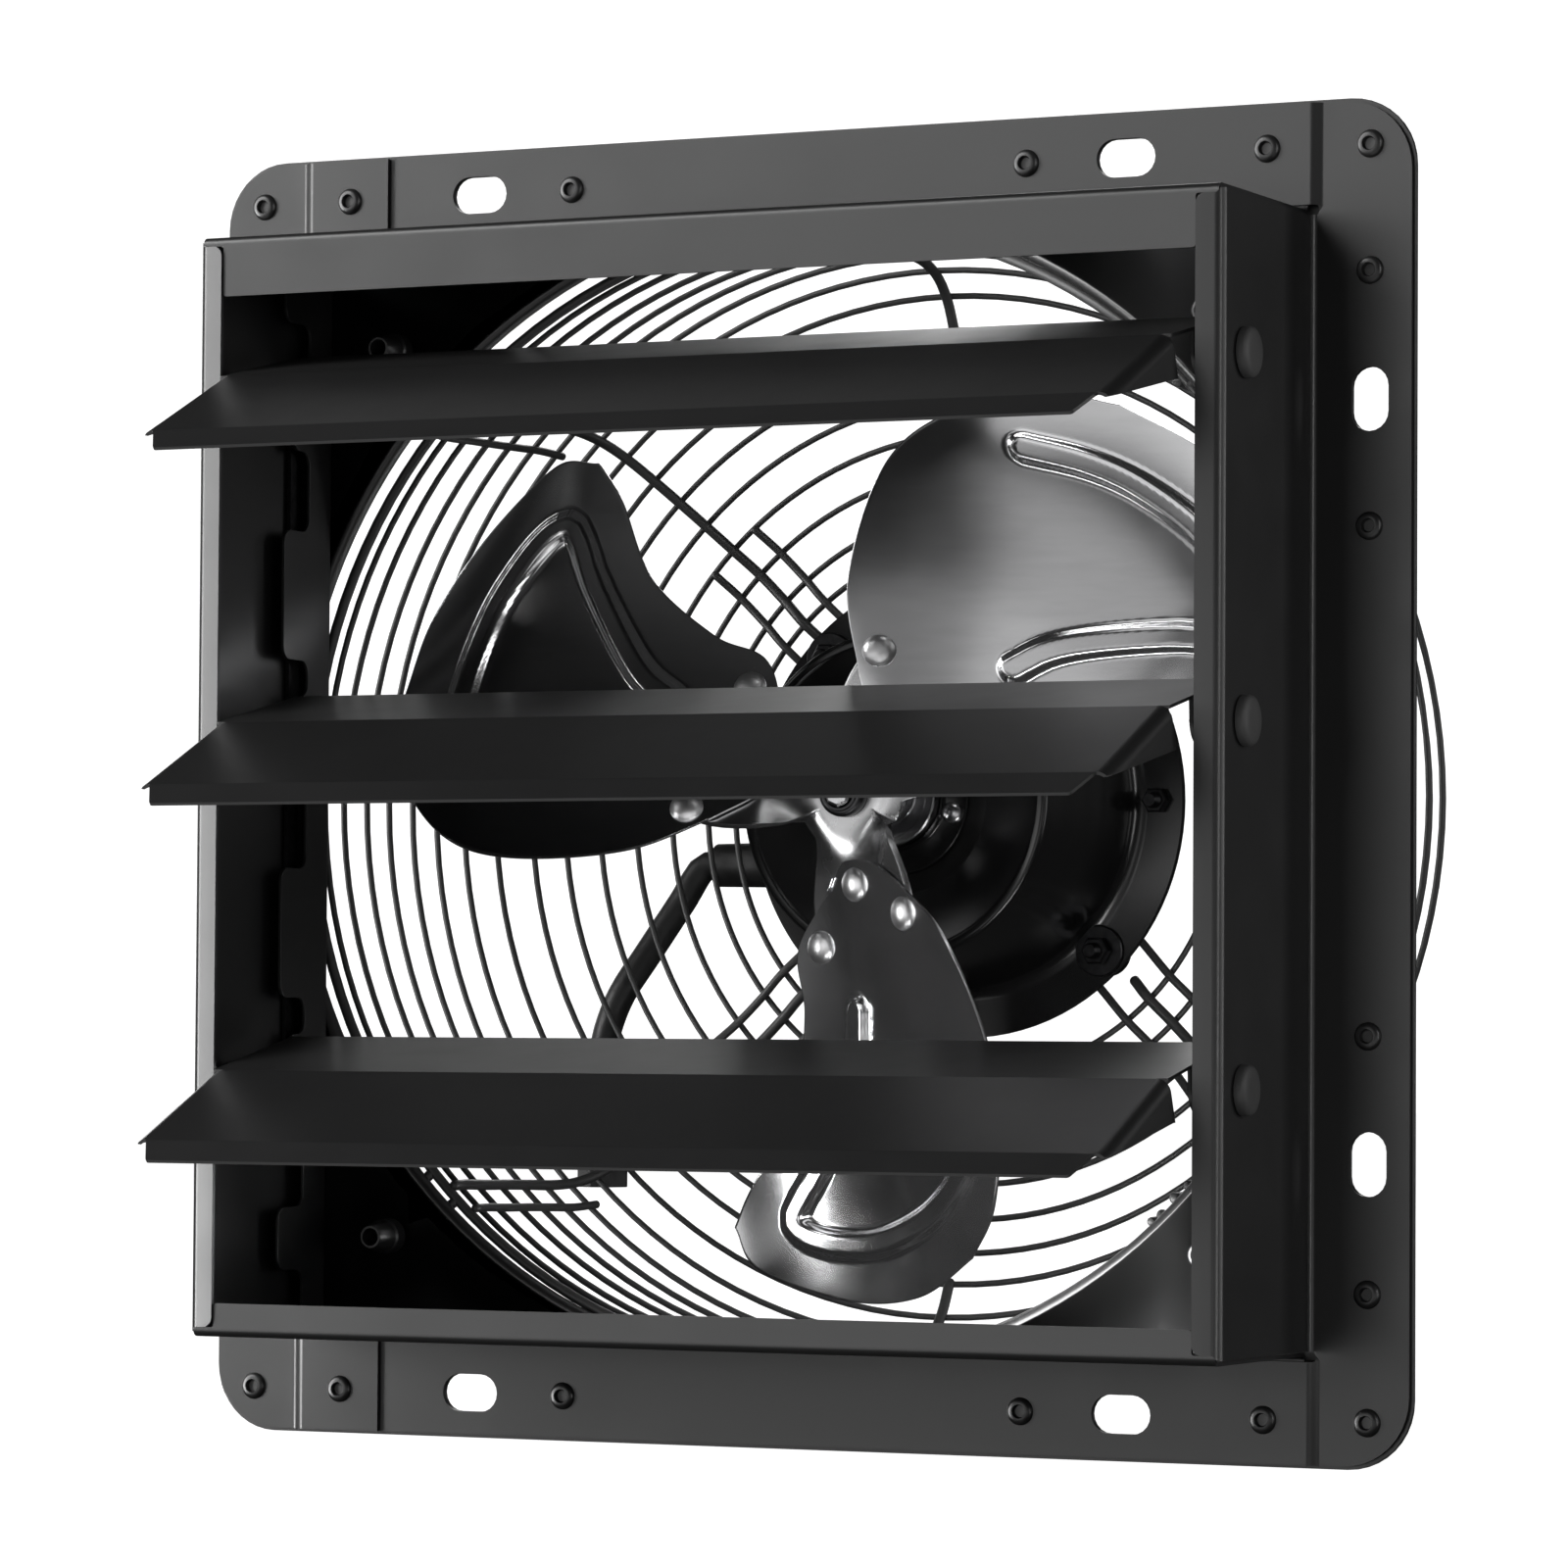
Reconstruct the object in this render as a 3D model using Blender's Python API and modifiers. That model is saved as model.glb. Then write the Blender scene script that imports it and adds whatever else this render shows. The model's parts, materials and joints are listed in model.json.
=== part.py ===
# Shutter exhaust fan: a folded sheet-metal wall box with three gravity louvres, a
# three-bladed fan on a flange motor, and a wire guard basket that carries the motor.
# X is to the right seen from the room, Y goes into the wall and Z is up. The origin is the
# centre of the opening, on the rear face of the mounting flange. Lengths are in metres.
import math

import bmesh
import bpy
import numpy as np
from mathutils import Matrix, Vector

# Sheet metal and fits
SHEET = 0.0012
BEND_RADIUS = 0.0016
FIT = 0.0003
WELD = 0.000001
OVERRUN = 0.004
SMOOTH_DEG = 35

# Box, folded from two side panels and two channels
BOX_WIDTH = 0.3296
HEIGHT_LESS = 0.0014
BOX_HEIGHT = BOX_WIDTH - HEIGHT_LESS
BOX_DEPTH = 0.06865
SIDE_LIP = 0.0080
TOP_LIP = 0.0180
BOTTOM_LIP = 0.0100
LIP_GAP = 0.0005
TAB_REACH = 0.0268
JOGGLE = 0.0036
RELIEF = 0.0030
WALL_END_INSET = 0.0015

# Mounting flange around the box and the plate behind it
FLANGE_WIDTH = 0.0302
FLANGE_SIZE = BOX_WIDTH + FLANGE_WIDTH * 2
BACK_PROUD = 0.0010
BACK_SIZE = FLANGE_SIZE + BACK_PROUD * 2
CORNER_RADIUS = 0.020
SLOT_LENGTH = 0.0185
SLOT_WIDTH = 0.0113
SLOT_FROM_SIDE = 0.05805
SLOT_FROM_END = 0.0549
SLOT_FROM_EDGE = 0.0126
SLOT_SPACING = BOX_WIDTH - SLOT_FROM_SIDE * 2
SIDE_SLOT_SPACING = BOX_HEIGHT - SLOT_FROM_END * 2
SLOT_LINE = FLANGE_SIZE - SLOT_FROM_EDGE * 2
ORIFICE_BEYOND = 0.0064
ORIFICE_RADIUS = BOX_WIDTH / 2 + ORIFICE_BEYOND
ORIFICE_BEND = 0.0022

# Notched strips inside the box, which cover the linkage
STRIP_SHEET = 0.0010
STRIP_ROOM = 0.0068
STRIP_END_ROOM = 0.0041
STRIP_SPACING = BOX_WIDTH - STRIP_ROOM * 2
STRIP_HEIGHT = BOX_HEIGHT - STRIP_END_ROOM * 2
STRIP_TAB = 0.0292
STRIP_STEP = 0.0240
STRIP_RECESS = 0.0142
STRIP_CORNER = 0.0040
TAB_BELOW = 0.0385
TAB_ABOVE = 0.0250
STEP_BELOW = 0.0140
STEP_ABOVE = 0.0140
LOW_TAB_HEIGHT = 0.0193

# Louvres, whose profile is given from the pivot
LOUVRE_SHEET = 0.0010
LOUVRE_SIDE_ROOM = 0.0124
PIVOT_BELOW_TOP = 0.0461
PIVOT_ABOVE_BOTTOM = 0.0761
LOUVRE_PITCH = (BOX_HEIGHT - PIVOT_BELOW_TOP - PIVOT_ABOVE_BOTTOM) / 2
MIDDLE_PIVOT = (PIVOT_ABOVE_BOTTOM - PIVOT_BELOW_TOP) / 2
PIVOT_SETBACK = 0.01605
BEND_AHEAD = 0.0244
BEND_ABOVE = 0.0027
REAR_STRIP = 0.0480
REAR_SLOPE_DEG = 12.15
LOUVRE_GAP = 0.0072
FACE_WIDTH = LOUVRE_PITCH - LOUVRE_GAP - REAR_STRIP
FACE_SLOPE_DEG = 24.75
LOUVRE_LIP = 0.0092
LIP_SLOPE_DEG = 38.4
LIP_INSET = 0.0037
FOLD_RADIUS = 0.0010
END_FLANGE_DEPTH = 0.0075
END_FLANGE_START = 0.0060
END_FLANGE_TIP = 0.0022
EAR_RADIUS = 0.0070

# Pivots and linkage
PIN_RADIUS = 0.0025
PIN_HEAD_RADIUS = 0.0045
PIN_HEAD = 0.0008
BUSH_RADIUS = 0.00445
CAP_RADIUS = 0.00725
CAP_THICKNESS = 0.0030
CAP_EDGE = 0.0008
BUSH_INSIDE = 0.0024
BORE_END = 0.0009
ARM_LENGTH = 0.0385
ARM_REST_DEG = -15
ARM_SHEET = 0.0010
ARM_ROOM = 0.0005
ARM_HUB_RADIUS = 0.0060
ARM_END_RADIUS = 0.0040
LINK_PIN_RADIUS = 0.0015
TIE_BAR_WIDTH = 0.0060
TIE_BAR_SHEET = 0.0012
TIE_BAR_ROOM = 0.0011
TIE_BAR_END = 0.0060

# Wire guard, whose profile runs from its rim to its innermost dished ring
GUARD_INSIDE_LIP = 0.0012
GUARD_RADIUS = ORIFICE_RADIUS - GUARD_INSIDE_LIP
GUARD_START = 0.0050
GUARD_INNER_ROOM = 0.0106
GUARD_BEHIND_FLANGE = 0.0078
RING_WIRE = 0.0022
SPOKE_WIRE = 0.0033
RING_COUNT = 10
RING_SEGMENTS = 16
GUARD_PROFILE_SHARES = ((1.0, 0.038), (1.005, 0.25), (1.018, 0.50), (1.012, 0.64), (0.963, 0.747),
                        (0.878, 0.81), (0.76, 0.856), (0.58, 0.907), (0.398, 0.951), (0.284, 1.0),
                        (0.146, 0.988), (0.0, 0.981))
CLAMP_RING_ROOM = 0.0003
SPOKE_WELD_SHARE = 0.30
SIDE_SPOKE_OFFSET = 0.0100
SPOKE_DEGS = (45, 135, 225, 315)
UPRIGHT_DEGS = (90, 270)
INNER_SPOKE_SHARE = 0.80
OUTER_SPOKE_SHARE = 0.40
EYE_ROOM = 0.0005
EYE_NECK = 0.0060
EYE_SWEEP_DEG = 110

# Guard bolts through the rear plate
BOLT_BEYOND = 0.0204
BOLT_CIRCLE_RADIUS = ORIFICE_RADIUS + BOLT_BEYOND
BOLT_RADIUS = 0.0025
BOLT_HEAD_RADIUS = 0.0050
BOLT_HEAD = 0.0035
BOLT_PROUD = 0.0125
NUT_LENGTH = 0.0125
NUT_BASE_RADIUS = 0.0053
NUT_END_RADIUS = 0.0038
NUT_BASE = 0.0050

# Motor
MOTOR_SHEET = 0.0012
MOTOR_RADIUS = 0.0580
MOTOR_FRONT = 0.0583
MOTOR_SHOULDER_RADIUS = 0.0505
WEB_DEPTH = 0.0129
MOTOR_WEB = MOTOR_FRONT + WEB_DEPTH
MOTOR_WEB_RADIUS = 0.0360
MOTOR_FLANGE_RADIUS = 0.0740
SHELL_DEPTH = 0.0657
MOTOR_FLANGE = MOTOR_FRONT + SHELL_DEPTH
REAR_SHELL_DEPTH = 0.0345
MOTOR_BACK = MOTOR_FLANGE + REAR_SHELL_DEPTH
BACK_BOSS = 0.0085
MOTOR_BEND = 0.0040
POCKET_DEPTH = 0.0080
BEARING_OUTER_RADIUS = 0.0140
BEARING_BORE_RADIUS = 0.0060
BEARING_WIDTH = 0.0080
RETAINER_SHEET = 0.0010
RETAINER_RADIUS = 0.0240
RETAINER_CUP = 0.0050
RETAINER_BORE_RADIUS = 0.0085
STATOR_LENGTH = 0.0360
ROTOR_RADIUS = 0.0290
AIR_GAP = 0.0006

# Shaft and hub
SHAFT_RADIUS = 0.0057
HUB_SHAFT_RADIUS = 0.0045
SHAFT_END = 0.0290
SHAFT_CHAMFER = 0.0008
HUB_FRONT = 0.0355
HUB_SHEET = 0.0020
HUB_FLAT_RADIUS = 0.0175
HUB_RAMP = 0.0085
HUB_ARM_RADIUS = 0.0500
ARM_TURN_DEG = 11
ARM_HALF_DEG = 20
ARM_FALL_DEG = 32
HUB_SECTORS = 39
HUB_RINGS = 4
COLLAR_RADIUS = 0.0110
COLLAR_LENGTH = 0.0180
NUT_RADIUS = 0.0075
NUT_THICKNESS = 0.0050

# Blades
BLADE_COUNT = 3
TIP_ROOM = 0.0172
BLADE_TIP = ORIFICE_RADIUS - TIP_ROOM
BLADE_SHEET = 0.0010
BLADE_START_DEG = -90
BLADE_MIDDLE = 0.0404
BLADE_MIDDLE_RADIUS = 0.0900
BLADE_UNIT = 0.0500
BLADE_RISE = 0.0045
BLADE_PITCH = 0.0206
BLADE_CUP = 0.0104
BLADE_TWIST = 0.0049
ROOT_SHARES = ((0.188, -0.038), (0.137, 0.000), (0.140, 0.080), (0.178, 0.156))
TRAILING_SHARES = ((0.188, -0.038), (0.308, -0.130), (0.437, -0.117), (0.629, -0.146),
                   (0.779, -0.247), (0.860, -0.285))
TIP_SHARES = ((0.860, -0.285), (0.945, -0.230), (1.000, -0.031), (0.988, 0.156), (0.905, 0.320))
LEADING_SHARES = ((0.178, 0.156), (0.278, 0.293), (0.465, 0.416), (0.620, 0.448),
                  (0.800, 0.405), (0.905, 0.320))
RIB_HEIGHT = 0.0022
RIB_SPAN_SHARES = (0.30, 0.36, 0.855, 0.875, 0.905, 0.925)
RIB_SIDE_SHARES = (0.165, 0.185, 0.225, 0.245)
RIB_END_SHARES = (0.78, 0.84)
SPAN_STEPS = 7
SIDE_STEPS = 6

# Clamps that hold the guard to the motor flange
CLAMP_RADIUS = 0.0660
CLAMP_STUD_RADIUS = 0.0025
CLAMP_WASHER_RADIUS = 0.0079
CLAMP_WASHER = 0.0012
CLAMP_NUT_RADIUS = 0.0045
CLAMP_NUT = 0.0040
CLAMP_PROUD = 0.0035

# Motor lead, its gland and the terminal box
LEAD_DIAMETER = 0.0086
LEAD_ROUTE = ((-0.0985, 0.1485, -0.0185), (-0.1040, 0.1482, -0.0196), (-0.1100, 0.1460, -0.0300),
              (-0.1155, 0.1425, -0.0400), (-0.1200, 0.1385, -0.0490), (-0.1250, 0.1340, -0.0590),
              (-0.1295, 0.1340, -0.0680), (-0.1325, 0.1347, -0.0770), (-0.1330, 0.1350, -0.0860))
LEAD_POINTS = 13
GLAND_ROOT_RADIUS = 0.0070
GLAND_TIP_RADIUS = 0.0058
TERMINAL_WIDTH = 0.0440
TERMINAL_HEIGHT = 0.0320
TERMINAL_DEPTH = 0.0260
TERMINAL_WALL = 0.0020
TERMINAL_CORNER = 0.0030
TERMINAL_ENTRY = 0.0820
TERMINAL_FRONT = 0.1270
COVER_THICKNESS = 0.0018
ENTRY_RADIUS = 0.0085
ENTRY_LENGTH = 0.0090
ENTRY_BORE_RADIUS = 0.0050

# Places worked out from the sizes above
PLATE_FRONT = -SHEET
FLANGE_BACK = PLATE_FRONT - FIT
FLANGE_MIDDLE = FLANGE_BACK - SHEET / 2
FLANGE_FRONT = FLANGE_BACK - SHEET
TAB_MIDDLE = FLANGE_FRONT - FIT - SHEET / 2
BOX_FRONT = FLANGE_FRONT - BOX_DEPTH
WALL_INSIDE = BOX_WIDTH / 2 - SHEET
LOUVRE_HALF = BOX_WIDTH / 2 - LOUVRE_SIDE_ROOM
PIVOT_Y = BOX_FRONT + PIVOT_SETBACK
PIVOTS = {"top": MIDDLE_PIVOT + LOUVRE_PITCH, "middle": MIDDLE_PIVOT,
          "bottom": MIDDLE_PIVOT - LOUVRE_PITCH}
ARM_OUTSIDE = STRIP_SPACING / 2 + STRIP_SHEET + ARM_ROOM + ARM_SHEET
REAR_FLANGE = MOTOR_FLANGE + MOTOR_SHEET + FIT
CLAMP_RINGS_Y = REAR_FLANGE + MOTOR_SHEET / 2 + FIT + RING_WIRE / 2
GUARD_DEPTH = MOTOR_FLANGE + GUARD_BEHIND_FLANGE
GUARD_INNER_RADIUS = CLAMP_RADIUS + CLAMP_WASHER_RADIUS + GUARD_INNER_ROOM
BEARING_POCKET = BEARING_OUTER_RADIUS + FIT + MOTOR_SHEET / 2
MOTOR_WALL = MOTOR_RADIUS - MOTOR_SHEET / 2
TERMINAL_X, TERMINAL_Y = LEAD_ROUTE[-1][:2]

# Resolution of round shapes
ARC_STEPS = 2
BEND_STEPS = 1
NUT_STEPS = 6
ROUND_STEPS = 8
BEARING_STEPS = 18
TURN_STEPS = 18
ORIFICE_STEPS = 24
CURVE_STEPS = 24
EDGE_STEPS = 400

PLANES = {
    "XY": Matrix.Identity(4),
    "XZ": Matrix(((1, 0, 0, 0), (0, 0, -1, 0), (0, 1, 0, 0), (0, 0, 0, 1))),
    "YZ": Matrix(((0, 0, 1, 0), (1, 0, 0, 0), (0, 1, 0, 0), (0, 0, 0, 1))),
}
TURNS = {"X": Matrix.Rotation(math.radians(90), 4, "Y"),
         "Y": Matrix.Rotation(math.radians(-90), 4, "X"),
         "Z": Matrix.Identity(4)}


# Outlines in a plane, as lists of (u, v)

def arc(centre, radius, start_deg, end_deg, steps):
    angles = np.radians(np.linspace(start_deg, end_deg, steps + 1))
    return [(centre[0] + radius * math.cos(a), centre[1] + radius * math.sin(a)) for a in angles]


def circle(centre, radius, steps):
    return arc(centre, radius, 0, 360, steps)[:-1]


def fillet(before, corner, after, radius, steps):
    """Points that replace a corner by an arc, as wide as its sides allow."""
    corner = Vector(corner)
    one, two = Vector(before) - corner, Vector(after) - corner
    half = one.angle(two) / 2
    reach = min(radius / math.tan(half), one.length / 2, two.length / 2)
    radius = reach * math.tan(half)
    one.normalize()
    two.normalize()
    centre = corner + (one + two).normalized() * radius / math.sin(half)
    start = corner + one * reach - centre
    turn = start.angle_signed(corner + two * reach - centre)
    points = [centre + Matrix.Rotation(-turn * k / steps, 2) @ start for k in range(steps + 1)]
    return [tuple(point) for point in points]


def rounded(outline, radius, steps=ARC_STEPS):
    """Closed outline with every corner rounded."""
    points = []
    for k, corner in enumerate(outline):
        points += fillet(outline[k - 1], corner, outline[(k + 1) % len(outline)], radius, steps)
    return points


def rectangle(width, height, centre=(0, 0)):
    u, v = centre
    return [(u - width / 2, v - height / 2), (u + width / 2, v - height / 2),
            (u + width / 2, v + height / 2), (u - width / 2, v + height / 2)]


def sheet_section(path, thickness, bend):
    """Closed outline of a folded sheet, half its thickness to each side of the path."""
    bends = bend if isinstance(bend, (list, tuple)) else [bend] * (len(path) - 2)
    line = [Vector(path[0])]
    for k in range(1, len(path) - 1):
        line += [Vector(p) for p in fillet(*path[k - 1:k + 2], bends[k - 1], BEND_STEPS)]
    line.append(Vector(path[-1]))
    sides = ([], [])
    for k, point in enumerate(line):
        runs = [line[j + 1] - line[j] for j in (k - 1, k) if 0 <= j < len(line) - 1]
        normals = [Vector((-run.y, run.x)).normalized() for run in runs]
        middle = sum(normals, Vector((0, 0))).normalized()
        offset = middle * (thickness / 2) / middle.dot(normals[0])
        sides[0].append(tuple(point + offset))
        sides[1].append(tuple(point - offset))
    return sides[0] + sides[1][::-1]


def smooth_line(points, count):
    """Catmull-Rom curve through points, as count points evenly spaced along it."""
    points = np.array(points, float)
    ends = np.vstack([2 * points[0] - points[1], points, 2 * points[-1] - points[-2]])
    t = np.linspace(0, 1, CURVE_STEPS, endpoint=False)[:, None]
    parts = []
    for a, b, c, d in zip(ends, ends[1:], ends[2:], ends[3:]):
        parts.append((2 * b + (c - a) * t + (2 * a - 5 * b + 4 * c - d) * t ** 2
                      + (3 * b - a - 3 * c + d) * t ** 3) / 2)
    line = np.vstack(parts + [points[-1:]])
    length = np.concatenate([[0], np.cumsum(np.linalg.norm(np.diff(line, axis=0), axis=1))])
    places = np.linspace(0, length[-1], count)
    return np.stack([np.interp(places, length, column) for column in line.T], axis=1)


# Meshes made with Blender's tools

def evaluated(source):
    """Closed mesh of a curve object, or of an object with modifiers, which is removed."""
    bpy.context.scene.collection.objects.link(source)
    graph = bpy.context.evaluated_depsgraph_get()
    mesh = bpy.data.meshes.new_from_object(source.evaluated_get(graph))
    bpy.data.objects.remove(source)
    shape = bmesh.new()
    shape.from_mesh(mesh)
    bmesh.ops.remove_doubles(shape, verts=shape.verts, dist=WELD)
    bmesh.ops.recalc_face_normals(shape, faces=shape.faces)
    shape.to_mesh(mesh)
    shape.free()
    return mesh


def plate(outlines, plane, low, high):
    """Flat plate between two levels; outlines after the first are its holes."""
    curve = bpy.data.curves.new("outline", "CURVE")
    curve.dimensions = "2D"
    curve.fill_mode = "BOTH"
    curve.extrude = (high - low) / 2
    for outline in outlines:
        spline = curve.splines.new("POLY")
        spline.points.add(len(outline) - 1)
        for point, (u, v) in zip(spline.points, outline):
            point.co = (u, v, 0, 1)
        spline.use_cyclic_u = True
    mesh = evaluated(bpy.data.objects.new("outline", curve))
    mesh.transform(PLANES[plane])
    across = Vector({"XY": (0, 0, 1), "XZ": (0, 1, 0), "YZ": (1, 0, 0)}[plane])
    mesh.transform(Matrix.Translation(across * (low + high) / 2))
    return mesh


def turned(profile, steps=TURN_STEPS, axis="Y", centre=(0, 0, 0)):
    """Profile of (radius, height) turned about an axis; it is open where it ends on the axis."""
    count = len(profile)
    closed = profile[0][0] > 0
    edges = [(k, (k + 1) % count) for k in range(count if closed else count - 1)]
    mesh = bpy.data.meshes.new("profile")
    mesh.from_pydata([(radius, 0, height) for radius, height in profile], edges, [])
    shape = bpy.data.objects.new("profile", mesh)
    screw = shape.modifiers.new("turn", "SCREW")
    screw.steps = screw.render_steps = steps
    screw.use_merge_vertices = True
    screw.merge_threshold = WELD
    mesh = evaluated(shape)
    mesh.transform(Matrix.Translation(centre) @ TURNS[axis])
    return mesh


def cylinder(radius, low, high, steps=ROUND_STEPS, axis="Y", centre=(0, 0, 0)):
    return turned([(0, high), (radius, high), (radius, low), (0, low)], steps, axis, centre)


def tube(points, diameter, resolution=0, cyclic=False):
    """Round wire or cable along points."""
    curve = bpy.data.curves.new("wire", "CURVE")
    curve.dimensions = "3D"
    curve.bevel_depth = diameter / 2
    curve.bevel_resolution = resolution
    curve.use_fill_caps = True
    spline = curve.splines.new("POLY")
    spline.points.add(len(points) - 1)
    for point, place in zip(spline.points, points):
        point.co = (*place, 1)
    spline.use_cyclic_u = cyclic
    return evaluated(bpy.data.objects.new("wire", curve))


def block(low, high):
    """Box between two corners."""
    low, high = Vector(low), Vector(high)
    shape = bmesh.new()
    bmesh.ops.create_cube(shape, size=1)
    place = Matrix.Translation((low + high) / 2) @ Matrix.Diagonal((*(high - low), 1))
    bmesh.ops.transform(shape, matrix=place, verts=shape.verts)
    mesh = bpy.data.meshes.new("block")
    shape.to_mesh(mesh)
    shape.free()
    return mesh


def combined(operation, first, others):
    """First mesh united with, or limited to, the other meshes."""
    group = bpy.data.collections.new("operands")
    for mesh in others:
        group.objects.link(bpy.data.objects.new("operand", mesh))
    body = bpy.data.objects.new("body", first)
    boolean = body.modifiers.new("combine", "BOOLEAN")
    boolean.operation = operation
    boolean.solver = "EXACT"
    boolean.operand_type = "COLLECTION"
    boolean.collection = group
    bpy.context.scene.collection.children.link(group)
    mesh = evaluated(body)
    for operand in list(group.objects):
        bpy.data.objects.remove(operand)
    bpy.data.collections.remove(group)
    return mesh


def united(*meshes):
    return combined("UNION", meshes[0], meshes[1:])


def mirrored(mesh, axis):
    """Mesh mirrored across the plane square to an axis."""
    copy = mesh.copy()
    copy.transform(Matrix.Scale(-1, 4, Vector(axis)))
    copy.flip_normals()
    return copy


# The scene: one collection for the parts, one for the cutters

for old in list(bpy.data.objects):
    bpy.data.objects.remove(old)
PARTS = bpy.data.collections.new("shutter_exhaust_fan")
CUTTERS = bpy.data.collections.new("cutters")
bpy.context.scene.collection.children.link(PARTS)
bpy.context.scene.collection.children.link(CUTTERS)


def finish(name, colour, roughness, metallic):
    material = bpy.data.materials.new(name)
    material.use_nodes = True
    shader = material.node_tree.nodes["Principled BSDF"]
    shader.inputs["Base Color"].default_value = (*colour, 1)
    shader.inputs["Roughness"].default_value = roughness
    shader.inputs["Metallic"].default_value = metallic
    return material


BLACK_PAINT = finish("black_paint", (0.018, 0.018, 0.019), 0.42, 0.0)
GUARD_COAT = finish("guard_coating", (0.012, 0.012, 0.013), 0.50, 0.0)
BLADE_STEEL = finish("blade_steel", (0.62, 0.62, 0.63), 0.28, 1.0)
SHAFT_STEEL = finish("shaft_steel", (0.45, 0.45, 0.46), 0.30, 1.0)
DARK_STEEL = finish("dark_steel", (0.08, 0.08, 0.085), 0.38, 1.0)
BLACK_PLASTIC = finish("black_plastic", (0.025, 0.025, 0.027), 0.55, 0.0)
RUBBER = finish("black_rubber", (0.014, 0.014, 0.014), 0.60, 0.0)


def axis_empty(name, place):
    """Empty on a joint's axis, which carries the pieces that turn about it."""
    empty = bpy.data.objects.new(name, None)
    PARTS.objects.link(empty)
    empty.location = place
    return empty


def part(name, mesh, material, parent=None, cuts=(), turn_deg=0):
    """Object of one sub-part, with its cutters and the axis that it turns about."""
    mesh.materials.clear()
    mesh.materials.append(material)
    mesh.shade_smooth()
    mesh.set_sharp_from_angle(angle=math.radians(SMOOTH_DEG))
    piece = bpy.data.objects.new(name, mesh)
    PARTS.objects.link(piece)
    piece.parent = parent
    piece.rotation_euler = (0, math.radians(turn_deg), 0)
    for number, cut in enumerate(cuts):
        cutter = bpy.data.objects.new(f"{name}_cut_{number}", cut)
        CUTTERS.objects.link(cutter)
        cutter.parent = parent
        cutter.hide_render = True
        cutter.display_type = "WIRE"
        boolean = piece.modifiers.new("cut", "BOOLEAN")
        boolean.solver = "EXACT"
        boolean.object = cutter
    return piece


# Wall box

def slot(centre, upright):
    """Stadium outline of one mounting slot."""
    size = (SLOT_WIDTH, SLOT_LENGTH) if upright else (SLOT_LENGTH, SLOT_WIDTH)
    return rounded(rectangle(*size, centre), SLOT_WIDTH / 2)


def side_slots(x):
    return [slot((x, z * SIDE_SLOT_SPACING / 2), True) for z in (-1, 1)]


def channel_slots(z):
    return [slot((x * SLOT_SPACING / 2, z), False) for x in (-1, 1)]


def side_panel():
    """Right panel: front lip, wall and flange, with a joggled tab at each end."""
    wall = BOX_WIDTH / 2 - SHEET / 2
    lip_y = BOX_FRONT + SHEET / 2
    edge = FLANGE_SIZE / 2
    strip_inside = BOX_WIDTH / 2 + BEND_RADIUS
    wall_end = BOX_HEIGHT / 2 - WALL_END_INSET
    tab_edge = wall_end + RELIEF
    fold = sheet_section([(BOX_WIDTH / 2 - SIDE_LIP, lip_y), (wall, lip_y), (wall, FLANGE_MIDDLE),
                          (edge + OVERRUN, FLANGE_MIDDLE)], SHEET, BEND_RADIUS)
    folded = plate([fold], "XY", -wall_end, wall_end)
    beyond = edge + OVERRUN
    strip = block((strip_inside, FLANGE_FRONT, -beyond), (beyond, FLANGE_BACK, beyond))
    joggle = sheet_section([(beyond, FLANGE_MIDDLE), (BOX_WIDTH / 2 + JOGGLE, FLANGE_MIDDLE),
                            (BOX_WIDTH / 2, TAB_MIDDLE), (BOX_WIDTH / 2 - TAB_REACH, TAB_MIDDLE)],
                           SHEET, BEND_RADIUS)
    tabs = [plate([joggle], "XY", low, high) for low, high in ((tab_edge, beyond), (-beyond, -tab_edge))]
    body = united(folded, strip, *tabs)
    outline = rounded(rectangle(FLANGE_SIZE, FLANGE_SIZE), CORNER_RADIUS, ARC_STEPS * 2)
    trim = plate([outline] + side_slots(SLOT_LINE / 2), "XZ", BOX_FRONT - OVERRUN, OVERRUN)
    return combined("INTERSECT", body, [trim])


def bush_holes():
    return [cylinder(BUSH_RADIUS + FIT, WALL_INSIDE - OVERRUN, WALL_INSIDE + SHEET + OVERRUN,
                     axis="X", centre=(0, PIVOT_Y, z)) for z in PIVOTS.values()]


def channel(side, lip):
    """Top or bottom channel: front face, wall and flange, set between the side panels."""
    wall = BOX_HEIGHT / 2 - SHEET / 2
    front_y = BOX_FRONT + SHEET / 2
    path = [(front_y, side * (BOX_HEIGHT / 2 - lip)), (front_y, side * wall),
            (FLANGE_MIDDLE, side * wall), (FLANGE_MIDDLE, side * FLANGE_SIZE / 2)]
    half = WALL_INSIDE - FIT
    return plate([sheet_section(path, SHEET, BEND_RADIUS)], "YZ", -half, half)


def channel_cuts(side):
    """Slots, and the corners that make room for the side panels' lips."""
    face_half = BOX_WIDTH / 2 - SIDE_LIP - LIP_GAP
    behind_lip = BOX_FRONT + SHEET + BEND_RADIUS + FIT
    corner = block((face_half, BOX_FRONT - OVERRUN, -BOX_HEIGHT), (BOX_WIDTH, behind_lip, BOX_HEIGHT))
    slots = [plate([outline], "XZ", BOX_FRONT, OVERRUN)
             for outline in channel_slots(side * SLOT_LINE / 2)]
    return [corner, mirrored(corner, (1, 0, 0))] + slots


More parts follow.
